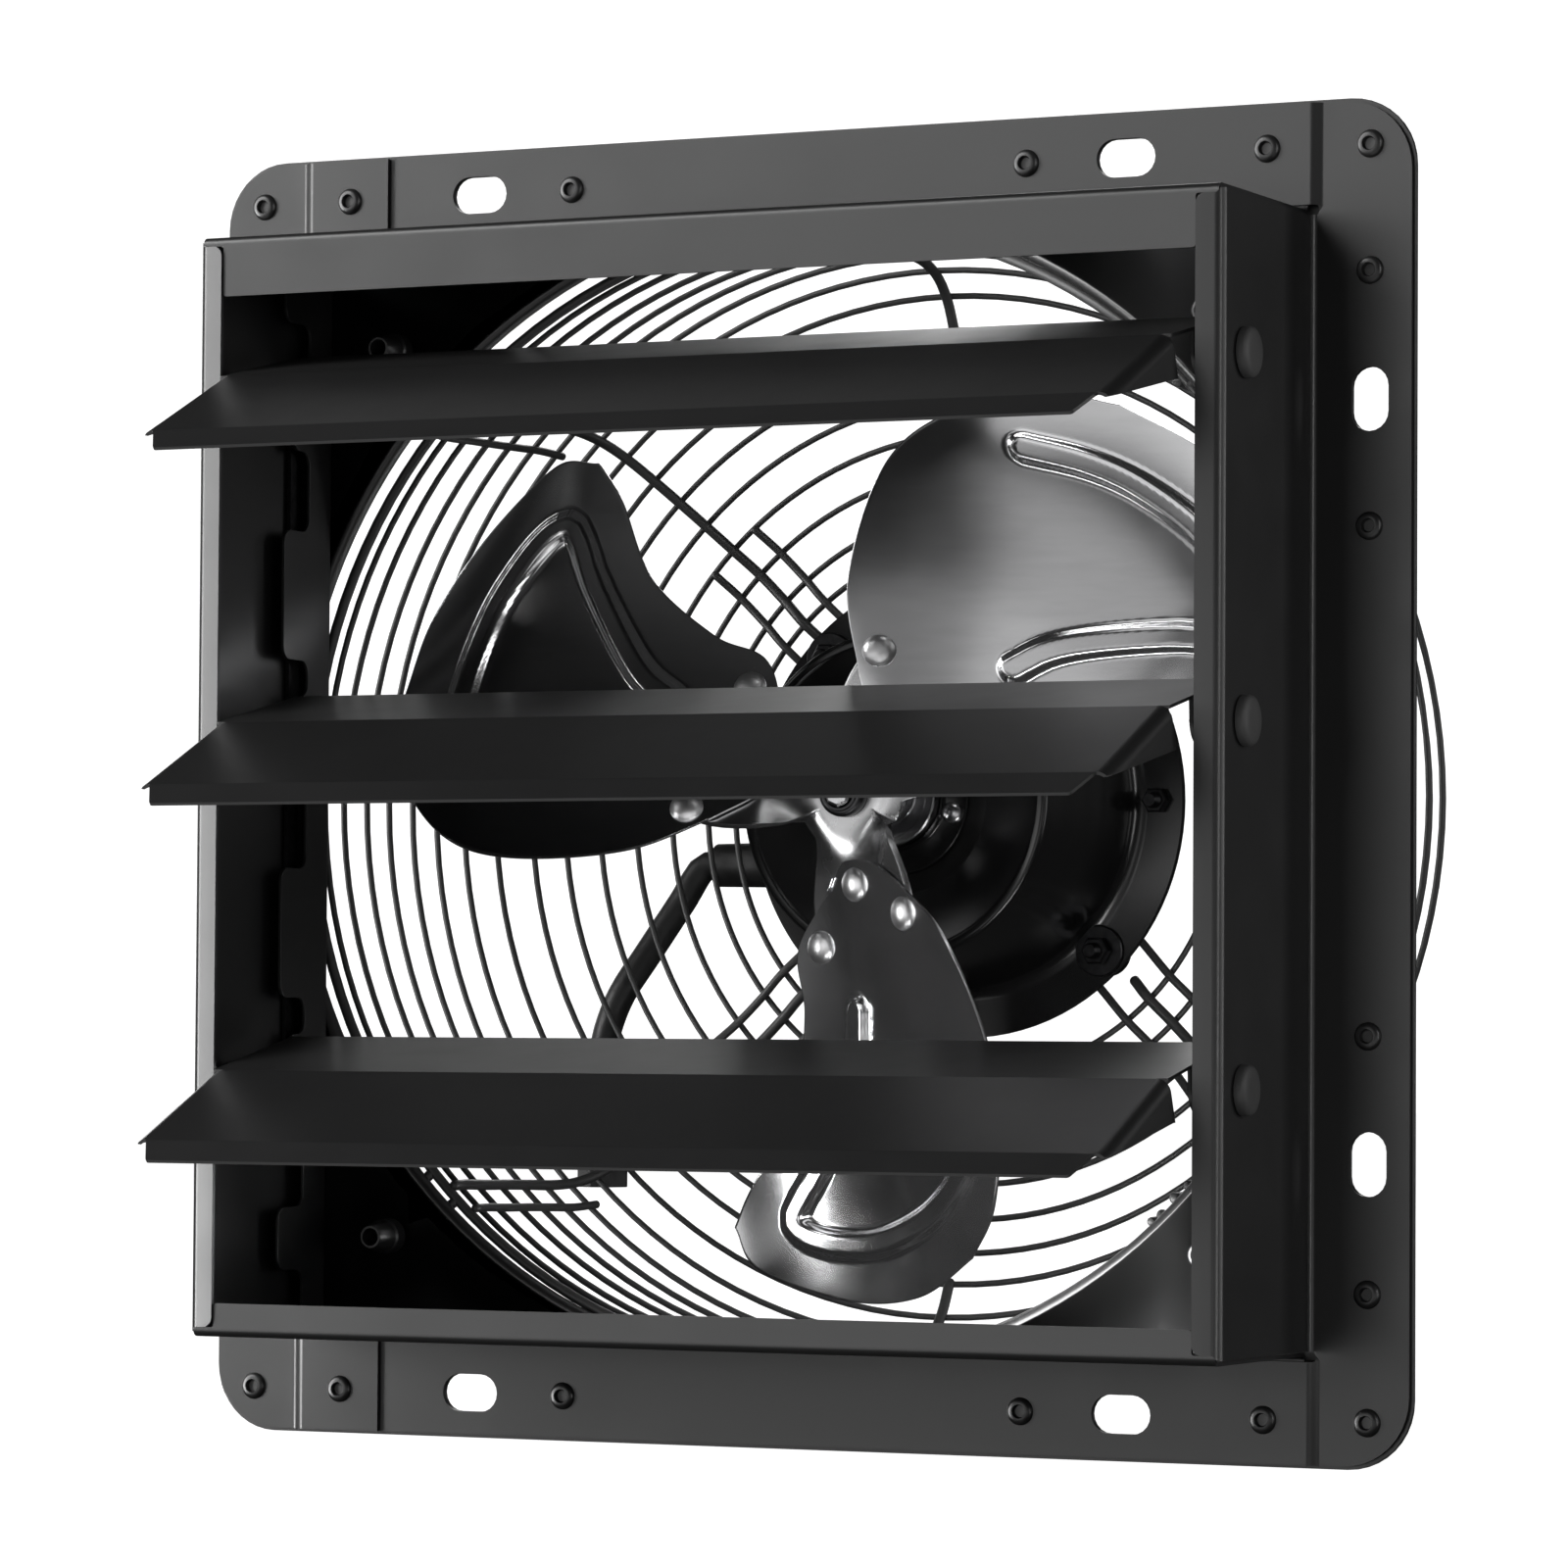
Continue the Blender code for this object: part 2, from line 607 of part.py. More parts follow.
def rear_panel():
    """Plate behind the flange, with the fan's opening turned back around its edge."""
    outline = rounded(rectangle(BACK_SIZE, BACK_SIZE), CORNER_RADIUS, ARC_STEPS * 2)
    holes = [circle((0, 0), ORIFICE_RADIUS + SHEET / 2 + ORIFICE_BEND, ORIFICE_STEPS)]
    for side in (-1, 1):
        holes += side_slots(side * SLOT_LINE / 2) + channel_slots(side * SLOT_LINE / 2)
    holes += [circle(place, BOLT_RADIUS + FIT, ROUND_STEPS) for place in bolt_places()]
    flat = plate([outline] + holes, "XZ", PLATE_FRONT, 0)
    inside = ORIFICE_RADIUS + SHEET / 2
    lip = sheet_section([(inside + ORIFICE_BEND * 2, -SHEET / 2), (inside, -SHEET / 2),
                         (inside, ORIFICE_BEND)], SHEET, ORIFICE_BEND)
    return united(flat, turned(lip, ORIFICE_STEPS))


def strip_outline():
    """Front edge of a notched strip, from tabs, recesses and steps around each pivot."""
    top = STRIP_HEIGHT / 2
    tab, step, recess = (FLANGE_BACK - depth for depth in (STRIP_TAB, STRIP_STEP, STRIP_RECESS))
    edge = [(FLANGE_BACK, top), (tab, top)]
    for pivot in PIVOTS.values():
        upper, lower = pivot + TAB_ABOVE, pivot - TAB_BELOW
        step_top, step_bottom = pivot + STEP_ABOVE, pivot - STEP_BELOW
        edge += [(tab, upper), (recess, upper), (recess, step_top), (step, step_top),
                 (step, step_bottom), (recess, step_bottom), (recess, lower), (tab, lower)]
    tab_end = lower - LOW_TAB_HEIGHT
    return edge + [(tab, tab_end), (recess, tab_end), (recess, -top), (FLANGE_BACK, -top)]


def inner_strip():
    """Right strip: a notched web with a foot that lies on the rear plate."""
    inside = STRIP_SPACING / 2
    outline = rounded(strip_outline(), STRIP_CORNER, BEND_STEPS)
    web = plate([outline], "YZ", inside, inside + STRIP_SHEET)
    foot = block((inside, FLANGE_BACK - STRIP_SHEET, -STRIP_HEIGHT / 2),
                 (WALL_INSIDE - FIT, FLANGE_BACK, STRIP_HEIGHT / 2))
    return united(web, foot)


def build_box():
    right = side_panel()
    strip = inner_strip()
    for name, flip in (("right", False), ("left", True)):
        panel = mirrored(right, (1, 0, 0)) if flip else right
        holes = [mirrored(hole, (1, 0, 0)) if flip else hole for hole in bush_holes()]
        part(f"side_panel_{name}", panel, BLACK_PAINT, cuts=holes)
        part(f"inner_strip_{name}", mirrored(strip, (1, 0, 0)) if flip else strip, BLACK_PAINT)
    part("top_channel", channel(1, TOP_LIP), BLACK_PAINT, cuts=channel_cuts(1))
    part("bottom_channel", channel(-1, BOTTOM_LIP), BLACK_PAINT, cuts=channel_cuts(-1))
    part("rear_panel", rear_panel(), BLACK_PAINT)


# Louvres, modelled about their pivot axis

def slope_point(start, length, slope_deg):
    """Point at a length from start, up and to the rear along a slope."""
    slope = math.radians(slope_deg)
    return (start[0] + length * math.cos(slope), start[1] + length * math.sin(slope))


def louvre_path():
    """Rear edge, bend, front fold and lip end, from the pivot."""
    bend = (-BEND_AHEAD, BEND_ABOVE)
    fold = slope_point(bend, -FACE_WIDTH, FACE_SLOPE_DEG)
    return [slope_point(bend, REAR_STRIP, REAR_SLOPE_DEG), bend, fold,
            slope_point(fold, -LOUVRE_LIP, LIP_SLOPE_DEG)]


def louvre():
    """Folded blade with a tapered flange and a pivot ear at each end."""
    rear, bend, fold, lip = louvre_path()
    sheet = plate([sheet_section([rear, bend, fold, lip], LOUVRE_SHEET, FOLD_RADIUS)],
                  "YZ", -LOUVRE_HALF, LOUVRE_HALF)
    flange_top = slope_point(bend, END_FLANGE_START, REAR_SLOPE_DEG)
    flange_tip = slope_point(fold, LOUVRE_SHEET, FACE_SLOPE_DEG)
    flange = [flange_top, bend, flange_tip, (flange_tip[0] + END_FLANGE_DEPTH, flange_tip[1]),
              (bend[0] + END_FLANGE_TIP, bend[1] - END_FLANGE_DEPTH),
              (flange_top[0], bend[1] - END_FLANGE_DEPTH + END_FLANGE_TIP)]
    ear_top = [slope_point(bend, BEND_AHEAD + side * EAR_RADIUS, REAR_SLOPE_DEG) for side in (1, -1)]
    ear = ear_top + arc((0, 0), EAR_RADIUS, 180, 360, ARC_STEPS * 2)
    ends = []
    for inside in (LOUVRE_HALF - LOUVRE_SHEET, -LOUVRE_HALF):
        ends += [plate([outline], "YZ", inside, inside + LOUVRE_SHEET) for outline in (flange, ear)]
    return united(sheet, *ends)


def louvre_cuts():
    """Pin holes, and the corners cut off the ends of the lip."""
    fold, lip = louvre_path()[2:]
    corner = block((LOUVRE_HALF - LIP_INSET, lip[0] - OVERRUN, lip[1] - OVERRUN),
                   (LOUVRE_HALF + OVERRUN, fold[0] - LOUVRE_SHEET, fold[1] + OVERRUN))
    hole = cylinder(PIN_RADIUS + FIT, -LOUVRE_HALF - OVERRUN, LOUVRE_HALF + OVERRUN, axis="X")
    return [corner, mirrored(corner, (1, 0, 0)), hole]


def pivot_pin():
    """Headed pin from inside the louvre's ear to the bottom of the bush's bore."""
    ear_inside = LOUVRE_HALF - LOUVRE_SHEET - FIT
    end = BOX_WIDTH / 2 + CAP_THICKNESS - BORE_END
    return turned([(0, end), (PIN_RADIUS, end), (PIN_RADIUS, ear_inside), (PIN_HEAD_RADIUS, ear_inside),
                   (PIN_HEAD_RADIUS, ear_inside - PIN_HEAD), (0, ear_inside - PIN_HEAD)], ROUND_STEPS, "X")


def pivot_bush():
    """Plug in the side wall, with a cap outside and a blind bore for the pin."""
    seat = BOX_WIDTH / 2 + FIT
    top = seat + CAP_THICKNESS
    inside = WALL_INSIDE - BUSH_INSIDE
    bore = PIN_RADIUS + FIT
    bore_end = BOX_WIDTH / 2 + CAP_THICKNESS - BORE_END + FIT
    return turned([(0, top), (CAP_RADIUS - CAP_EDGE, top), (CAP_RADIUS, top - CAP_EDGE), (CAP_RADIUS, seat),
                   (BUSH_RADIUS, seat), (BUSH_RADIUS, inside), (bore, inside), (bore, bore_end),
                   (0, bore_end)], ROUND_STEPS, "X")


def link_end():
    """Place of the link pin from the pivot, at rest."""
    return slope_point((0, 0), ARM_LENGTH, ARM_REST_DEG)


def louvre_arm():
    """Arm on the pivot pin, behind the strip, with the pin that carries the tie bar."""
    end = link_end()
    outline = arc((0, 0), ARM_HUB_RADIUS, ARM_REST_DEG + 90, ARM_REST_DEG + 270, ARC_STEPS * 2)
    outline += arc(end, ARM_END_RADIUS, ARM_REST_DEG - 90, ARM_REST_DEG + 90, ARC_STEPS * 2)
    hole = circle((0, 0), PIN_RADIUS + FIT, ROUND_STEPS)
    arm = plate([outline, hole], "YZ", -ARM_OUTSIDE, ARM_SHEET - ARM_OUTSIDE)
    pin_end = ARM_OUTSIDE + TIE_BAR_ROOM + TIE_BAR_SHEET + FIT
    pin = cylinder(LINK_PIN_RADIUS, -pin_end, ARM_SHEET / 2 - ARM_OUTSIDE, axis="X", centre=(0, *end))
    return united(arm, pin)


def tie_bar():
    """Flat bar that joins the three arms, modelled about the middle link pin."""
    half = TIE_BAR_WIDTH / 2
    top, bottom = LOUVRE_PITCH + TIE_BAR_END, -LOUVRE_PITCH - TIE_BAR_END
    outline = rounded([(-half, bottom), (half, bottom), (half, top), (-half, top)], half)
    holes = [circle((0, z), LINK_PIN_RADIUS + FIT, ROUND_STEPS) for z in (LOUVRE_PITCH, 0, -LOUVRE_PITCH)]
    outside = ARM_OUTSIDE + TIE_BAR_ROOM + TIE_BAR_SHEET
    return plate([outline] + holes, "YZ", -outside, TIE_BAR_SHEET - outside)


def build_louvres():
    blade, pin, bush, arm = louvre(), pivot_pin(), pivot_bush(), louvre_arm()
    for name, height in PIVOTS.items():
        pivot = axis_empty(f"{name}_pivot", (0, PIVOT_Y, height))
        part(f"louvre_{name}", blade.copy(), BLACK_PAINT, pivot, louvre_cuts())
        part(f"pivot_pin_{name}_right", pin.copy(), DARK_STEEL, pivot)
        part(f"pivot_pin_{name}_left", mirrored(pin, (1, 0, 0)), DARK_STEEL, pivot)
        part(f"pivot_bush_{name}_right", bush.copy(), BLACK_PLASTIC, pivot)
        part(f"pivot_bush_{name}_left", mirrored(bush, (1, 0, 0)), BLACK_PLASTIC, pivot)
        part(f"louvre_arm_{name}", arm.copy(), DARK_STEEL, pivot)
    end = link_end()
    link = axis_empty("tie_bar_link", (0, PIVOT_Y + end[0], PIVOTS["middle"] + end[1]))
    part("tie_bar", tie_bar(), DARK_STEEL, link)


# Wire guard

def ring(radius, y, wire):
    """Closed wire whose straight sides, not its corners, lie on the spokes."""
    half = 180 / RING_SEGMENTS
    points = [(x, y, z) for x, z in arc((0, 0), radius, half, half + 360, RING_SEGMENTS)[:-1]]
    return tube(points, wire, cyclic=True)


def guard_profile(count):
    """Radius and depth along the basket, from the rim to the innermost dished ring."""
    width = GUARD_RADIUS - GUARD_INNER_RADIUS
    points = [(GUARD_INNER_RADIUS + r * width, d * GUARD_DEPTH) for r, d in GUARD_PROFILE_SHARES]
    return smooth_line(points, count)


def spoke(profile, angle_deg, offset):
    """Wire that follows the basket's profile, beside a radius, on the rings' inner side."""
    angle = math.radians(angle_deg)
    along = Vector((math.cos(angle), 0, math.sin(angle)))
    across = Vector((-math.sin(angle), 0, math.cos(angle)))
    points = []
    for radius, depth in profile:
        reach = math.sqrt(radius ** 2 - offset ** 2)
        points.append(along * reach + across * offset + Vector((0, depth, 0)))
    return tube(points, SPOKE_WIRE)


def inside_profile(profile, distance):
    """Profile moved towards the fan by a distance."""
    steps = np.gradient(profile, axis=0)
    normals = np.stack([steps[:, 1], -steps[:, 0]], axis=1)
    normals /= np.linalg.norm(normals, axis=1)[:, None]
    return profile - normals * distance


def bolt_places():
    half = BOLT_CIRCLE_RADIUS / math.sqrt(2)
    return [(x * half, z * half) for x in (-1, 1) for z in (-1, 1)]


def guard_eye(angle_deg):
    """Loop from the rim out and round a guard bolt."""
    angle = math.radians(angle_deg)
    turn = Matrix.Rotation(-angle, 4, "Y")
    radius = BOLT_RADIUS + EYE_ROOM + SPOKE_WIRE / 2
    seat = SPOKE_WIRE / 2 + FIT
    rim = GUARD_RADIUS * math.cos(math.pi / RING_SEGMENTS)
    points = [(rim, GUARD_START, EYE_NECK)]
    loop = arc((0, 0), radius, EYE_SWEEP_DEG, -EYE_SWEEP_DEG, ARC_STEPS * 2)
    points += [(BOLT_CIRCLE_RADIUS + u, seat, v) for u, v in loop]
    points += [(rim, GUARD_START, -EYE_NECK)]
    return tube([turn @ Vector(point) for point in points], SPOKE_WIRE)


def wire_guard():
    """Basket of rings on spokes, with eyes at the rim and two rings under the clamps."""
    rings = [ring(radius, depth, RING_WIRE) for radius, depth in guard_profile(RING_COUNT)[1:]]
    rings.append(ring(GUARD_RADIUS, GUARD_START, SPOKE_WIRE))
    room = CLAMP_STUD_RADIUS + CLAMP_RING_ROOM + RING_WIRE / 2
    corner = math.cos(math.pi / RING_SEGMENTS)
    rings += [ring((CLAMP_RADIUS + side * room) / corner, CLAMP_RINGS_Y, RING_WIRE) for side in (-1, 1)]
    gap = (RING_WIRE + SPOKE_WIRE) / 2 * (1 - SPOKE_WELD_SHARE)
    line = inside_profile(guard_profile(RING_COUNT - 1), gap)
    clamp_end = (CLAMP_RADIUS + CLAMP_WASHER_RADIUS + SPOKE_WIRE, CLAMP_RINGS_Y + gap / 2)
    inner_end = [(CLAMP_RADIUS + side * (room + SPOKE_WIRE), CLAMP_RINGS_Y + gap) for side in (1, -1)]
    inner = list(line[int(len(line) * INNER_SPOKE_SHARE):]) + inner_end
    outer = line[:int(len(line) * OUTER_SPOKE_SHARE)]
    spokes = []
    for angle in SPOKE_DEGS:
        spokes.append(spoke([*line, clamp_end], angle, 0))
        for offset in (-SIDE_SPOKE_OFFSET, SIDE_SPOKE_OFFSET):
            spokes += [spoke(inner, angle, offset), spoke(outer, angle, offset)]
        spokes.append(guard_eye(angle))
    spokes += [spoke(line[:len(line) // 2], angle, 0) for angle in UPRIGHT_DEGS]
    return united(rings[0], *rings[1:], *spokes)


def guard_bolt():
    """Bolt from behind, with its head on the guard's eye and its end in the nut."""
    head = SPOKE_WIRE + FIT * 2
    end = PLATE_FRONT - FIT - BOLT_PROUD
    return turned([(0, head + BOLT_HEAD), (BOLT_HEAD_RADIUS, head + BOLT_HEAD), (BOLT_HEAD_RADIUS, head),
                   (BOLT_RADIUS, head), (BOLT_RADIUS, end), (0, end)], NUT_STEPS)


def guard_nut():
    """Tapered sleeve nut on the front of the rear plate."""
    seat = PLATE_FRONT - FIT
    bore = BOLT_RADIUS + FIT
    return turned([(bore, seat), (NUT_BASE_RADIUS, seat), (NUT_BASE_RADIUS, seat - NUT_BASE),
                   (NUT_END_RADIUS, seat - NUT_LENGTH), (bore, seat - NUT_LENGTH)], NUT_STEPS)


def build_guard():
    part("wire_guard", wire_guard(), GUARD_COAT)
    names = ("lower_left", "upper_left", "lower_right", "upper_right")
    for name, (x, z) in zip(names, bolt_places()):
        for kind, mesh in (("guard_bolt", guard_bolt()), ("guard_nut", guard_nut())):
            mesh.transform(Matrix.Translation((x, 0, z)))
            part(f"{kind}_{name}", mesh, BLACK_PAINT)


# Motor

def motor_front_shell():
    """Drawn cup with a dished face, the bearing's pocket and the mounting flange."""
    path = [(BEARING_POCKET, MOTOR_WEB + POCKET_DEPTH), (BEARING_POCKET, MOTOR_WEB),
            (MOTOR_WEB_RADIUS, MOTOR_WEB), (MOTOR_SHOULDER_RADIUS, MOTOR_FRONT),
            (MOTOR_WALL, MOTOR_FRONT), (MOTOR_WALL, MOTOR_FLANGE), (MOTOR_FLANGE_RADIUS, MOTOR_FLANGE)]
    bends = [BEND_RADIUS, MOTOR_BEND, MOTOR_BEND, MOTOR_BEND, MOTOR_SHEET / 2 + FIT]
    return turned(sheet_section(path, MOTOR_SHEET, bends))


def motor_rear_shell():
    """Rear cup with the rear bearing's boss and a flange behind the front shell's."""
    boss = MOTOR_BACK + BACK_BOSS
    path = [(0, boss), (BEARING_POCKET, boss), (BEARING_POCKET, MOTOR_BACK), (MOTOR_WALL, MOTOR_BACK),
            (MOTOR_WALL, REAR_FLANGE), (MOTOR_FLANGE_RADIUS, REAR_FLANGE)]
    bends = [MOTOR_SHEET / 2 + FIT, BEND_RADIUS, MOTOR_BEND, BEND_RADIUS]
    return turned(sheet_section(path, MOTOR_SHEET, bends))


def flange_holes():
    """Clearance holes for the clamps' studs."""
    return [cylinder(CLAMP_STUD_RADIUS + FIT, MOTOR_FLANGE - OVERRUN, MOTOR_FLANGE + OVERRUN,
                     NUT_STEPS, centre=(x, 0, z)) for x, z in clamp_places()]


def clamp_places():
    return [arc((0, 0), CLAMP_RADIUS, angle, angle, 1)[0] for angle in SPOKE_DEGS]


def guard_clamp():
    """Stud with a nut and washer before the flange, and a washer and head behind the rings."""
    front = MOTOR_FLANGE - MOTOR_SHEET / 2 - FIT
    back = CLAMP_RINGS_Y + RING_WIRE / 2 + FIT
    return turned([
        (0, back + CLAMP_WASHER + CLAMP_NUT), (CLAMP_NUT_RADIUS, back + CLAMP_WASHER + CLAMP_NUT),
        (CLAMP_NUT_RADIUS, back + CLAMP_WASHER), (CLAMP_WASHER_RADIUS, back + CLAMP_WASHER),
        (CLAMP_WASHER_RADIUS, back), (CLAMP_STUD_RADIUS, back), (CLAMP_STUD_RADIUS, front),
        (CLAMP_WASHER_RADIUS, front), (CLAMP_WASHER_RADIUS, front - CLAMP_WASHER),
        (CLAMP_NUT_RADIUS, front - CLAMP_WASHER), (CLAMP_NUT_RADIUS, front - CLAMP_WASHER - CLAMP_NUT),
        (CLAMP_STUD_RADIUS, front - CLAMP_WASHER - CLAMP_NUT),
        (CLAMP_STUD_RADIUS, front - CLAMP_WASHER - CLAMP_NUT - CLAMP_PROUD),
        (0, front - CLAMP_WASHER - CLAMP_NUT - CLAMP_PROUD)], NUT_STEPS)


def bearing_retainer():
    """Pressed cup over the front bearing, with a flange on the motor's face."""
    cup = BEARING_OUTER_RADIUS + FIT + RETAINER_SHEET / 2
    flange = MOTOR_WEB - MOTOR_SHEET / 2 - FIT - RETAINER_SHEET / 2
    path = [(RETAINER_BORE_RADIUS, flange - RETAINER_CUP), (cup, flange - RETAINER_CUP), (cup, flange),
            (RETAINER_RADIUS, flange)]
    section = sheet_section(path, RETAINER_SHEET, RETAINER_SHEET / 2 + FIT)
    return turned(section, BEARING_STEPS)


def bearing(front):
    """Ball bearing as a ring with its bore."""
    back = front + BEARING_WIDTH
    return turned([(BEARING_OUTER_RADIUS, back), (BEARING_OUTER_RADIUS, front),
                   (BEARING_BORE_RADIUS, front), (BEARING_BORE_RADIUS, back)], BEARING_STEPS)


def stator():
    """Wound core as a ring inside the front shell."""
    outer, inner = MOTOR_RADIUS - MOTOR_SHEET - FIT, ROTOR_RADIUS + AIR_GAP
    middle = (MOTOR_WEB + POCKET_DEPTH + MOTOR_FLANGE) / 2
    low, high = middle - STATOR_LENGTH / 2, middle + STATOR_LENGTH / 2
    return turned([(outer, high), (outer, low), (inner, low), (inner, high)])


def rotor():
    """Rotor core on the shaft."""
    middle = (MOTOR_WEB + POCKET_DEPTH + MOTOR_FLANGE) / 2
    low, high = middle - STATOR_LENGTH / 2, middle + STATOR_LENGTH / 2
    bore = SHAFT_RADIUS + FIT
    return turned([(ROTOR_RADIUS, high), (ROTOR_RADIUS, low), (bore, low), (bore, high)])


def motor_shaft():
    """Shaft through both bearings, thinner where the hub sits."""
    back = MOTOR_BACK + BACK_BOSS - MOTOR_SHEET - FIT
    step = HUB_FRONT + HUB_SHEET + FIT * 2
    chamfer = SHAFT_END + SHAFT_CHAMFER
    return turned([(0, back), (SHAFT_RADIUS, back), (SHAFT_RADIUS, step), (HUB_SHAFT_RADIUS, step),
                   (HUB_SHAFT_RADIUS, chamfer), (HUB_SHAFT_RADIUS - SHAFT_CHAMFER, SHAFT_END),
                   (0, SHAFT_END)], ROUND_STEPS)


def build_motor():
    part("motor_front_shell", motor_front_shell(), BLACK_PAINT, cuts=flange_holes())
    part("motor_rear_shell", motor_rear_shell(), BLACK_PAINT, cuts=flange_holes())
    part("bearing_retainer", bearing_retainer(), DARK_STEEL)
    front = MOTOR_WEB - MOTOR_SHEET / 2 - RETAINER_CUP
    part("front_bearing", bearing(front), SHAFT_STEEL)
    back = MOTOR_BACK + BACK_BOSS - MOTOR_SHEET / 2 - FIT
    part("rear_bearing", bearing(back - BEARING_WIDTH), SHAFT_STEEL)
    part("stator", stator(), DARK_STEEL)
    names = ("upper_right", "upper_left", "lower_left", "lower_right")
    for name, (x, z) in zip(names, clamp_places()):
        mesh = guard_clamp()
        mesh.transform(Matrix.Translation((x, 0, z)))
        part(f"guard_clamp_{name}", mesh, BLACK_PAINT)


# Fan, which turns on the motor's axis

def blade_depth(radial, across):
    """Depth of a blade's front face: pitched, cupped and twisted along its radius."""
    x = (radial - BLADE_MIDDLE_RADIUS) / BLADE_UNIT
    t = across / BLADE_UNIT
    return BLADE_MIDDLE - BLADE_PITCH * t + BLADE_RISE * x - BLADE_CUP * t ** 2 + BLADE_TWIST * x * t


def surface(points, wrap=False):
    """Open mesh on a grid of points, closed in its second direction where it wraps."""
    rows, columns = points.shape[:2]
    shape = bmesh.new()
    verts = [[shape.verts.new(point) for point in row] for row in points]
    for a, b in zip(verts, verts[1:]):
        for k in range(columns if wrap else columns - 1):
            n = (k + 1) % columns
            shape.faces.new((a[k], a[n], b[n], b[k]))
    mesh = bpy.data.meshes.new("surface")
    shape.to_mesh(mesh)
    shape.free()
    return mesh


def thickened(mesh, thickness):
    """Solid of a sheet whose front face is an open surface that looks to the rear."""
    shell = bpy.data.objects.new("shell", mesh)
    solidify = shell.modifiers.new("sheet", "SOLIDIFY")
    solidify.thickness = thickness
    solidify.offset = 1
    return evaluated(shell)


def spaced(shares, steps):
    """Values from 0 to 1 that include the given ones, no further apart than a step."""
    values = [0.0]
    for value in (*shares, 1.0):
        count = max(1, round((value - values[-1]) * steps))
        values += list(np.linspace(values[-1], value, count + 1)[1:])
    return np.array(values)


def blade():
    """Pressed blade between its four edges, with a hooked stiffening rib raised on its face."""
    span = spaced(RIB_SPAN_SHARES, SPAN_STEPS)
    side = spaced(RIB_SIDE_SHARES + RIB_END_SHARES, SIDE_STEPS)
    edges = [smooth_line(np.array(shares) * BLADE_TIP, EDGE_STEPS + 1)
             for shares in (TRAILING_SHARES, LEADING_SHARES, ROOT_SHARES, TIP_SHARES)]
    trailing, leading = (edge[np.rint(span * EDGE_STEPS).astype(int)][:, None] for edge in edges[:2])
    root, tip = (edge[np.rint(side * EDGE_STEPS).astype(int)][None] for edge in edges[2:])
    u, v = span[:, None, None], side[None, :, None]
    corners = ((1 - u) * (1 - v) * root[:, :1] + (1 - u) * v * root[:, -1:]
               + u * (1 - v) * tip[:, :1] + u * v * tip[:, -1:])
    flat = (1 - v) * trailing + v * leading + (1 - u) * root + u * tip - corners
    depth = blade_depth(flat[..., 0], flat[..., 1]) - RIB_HEIGHT * rib_share(span, side)
    points = np.stack([flat[..., 0], depth, flat[..., 1]], axis=-1)
    return thickened(surface(points), BLADE_SHEET)


def rib_share(span, side):
    """How much of the rib's height each place on the blade has."""
    start, full, outer, crest, far, end = RIB_SPAN_SHARES
    low, crest_low, crest_high, high = RIB_SIDE_SHARES
    ramp = [np.interp(span, (start, full, far, end), (0, 1, 1, 0)),
            np.interp(side, (low, crest_low, crest_high, high), (0, 1, 1, 0)),
            np.interp(span, (outer, crest, far, end), (0, 1, 1, 0)),
            np.interp(side, (low, crest_low, *RIB_END_SHARES), (0, 1, 1, 0))]
    return np.maximum(np.outer(ramp[0], ramp[1]), np.outer(ramp[2], ramp[3]))


def hub_spider():
    """Three-armed pressing, flat round the shaft and bent to the blades' pitch on its arms."""
    angles = np.linspace(0, 360, HUB_SECTORS, endpoint=False)
    period = 360 / BLADE_COUNT
    local = (angles + period / 2) % period - period / 2
    away = np.abs(local - ARM_TURN_DEG)
    fall = np.clip((away - ARM_HALF_DEG) / ARM_FALL_DEG, 0, 1)
    reach = HUB_FLAT_RADIUS + (HUB_ARM_RADIUS - HUB_FLAT_RADIUS) * (1 + np.cos(math.pi * fall)) / 2
    bore = HUB_SHAFT_RADIUS + FIT
    steps = np.linspace(0, 1, HUB_RINGS + 1)[:, None]
    radius = bore + (reach[None] - bore) * steps
    turn = np.radians(local)[None]
    on_blade = blade_depth(radius * np.cos(turn), radius * np.sin(turn)) + BLADE_SHEET + FIT * 3
    ramp = np.clip((radius - HUB_FLAT_RADIUS) / HUB_RAMP, 0, 1)
    ramp = ramp ** 2 * (3 - 2 * ramp)
    depth = HUB_FRONT + (on_blade - HUB_FRONT) * ramp
    world = np.radians(angles)[None]
    points = np.stack([radius * np.cos(world), depth, radius * np.sin(world)], axis=-1)
    return thickened(surface(points, wrap=True), HUB_SHEET)


def hub_collar():
    """Sleeve between the spider and the motor."""
    front = HUB_FRONT + HUB_SHEET + FIT
    bore = SHAFT_RADIUS + FIT
    return turned([(COLLAR_RADIUS, front + COLLAR_LENGTH), (COLLAR_RADIUS, front), (bore, front),
                   (bore, front + COLLAR_LENGTH)])


def shaft_nut():
    """Hexagon nut that holds the spider on the shaft."""
    back = HUB_FRONT - FIT
    outline = circle((0, 0), NUT_RADIUS, 6)
    hole = circle((0, 0), HUB_SHAFT_RADIUS + FIT, ROUND_STEPS)
    return plate([outline, hole], "XZ", back - NUT_THICKNESS, back)


def build_fan():
    axis = axis_empty("fan_axis", (0, 0, 0))
    part("motor_shaft", motor_shaft(), SHAFT_STEEL, axis)
    part("rotor", rotor(), DARK_STEEL, axis)
    part("hub_spider", hub_spider(), BLADE_STEEL, axis, turn_deg=-BLADE_START_DEG)
    part("hub_collar", hub_collar(), SHAFT_STEEL, axis)
    part("shaft_nut", shaft_nut(), DARK_STEEL, axis)
    pressing = blade()
    for number in range(BLADE_COUNT):
        turn = -BLADE_START_DEG - number * 360 / BLADE_COUNT
        part(f"fan_blade_{number + 1}", pressing.copy(), BLADE_STEEL, axis, turn_deg=turn)


# Motor lead and terminal box

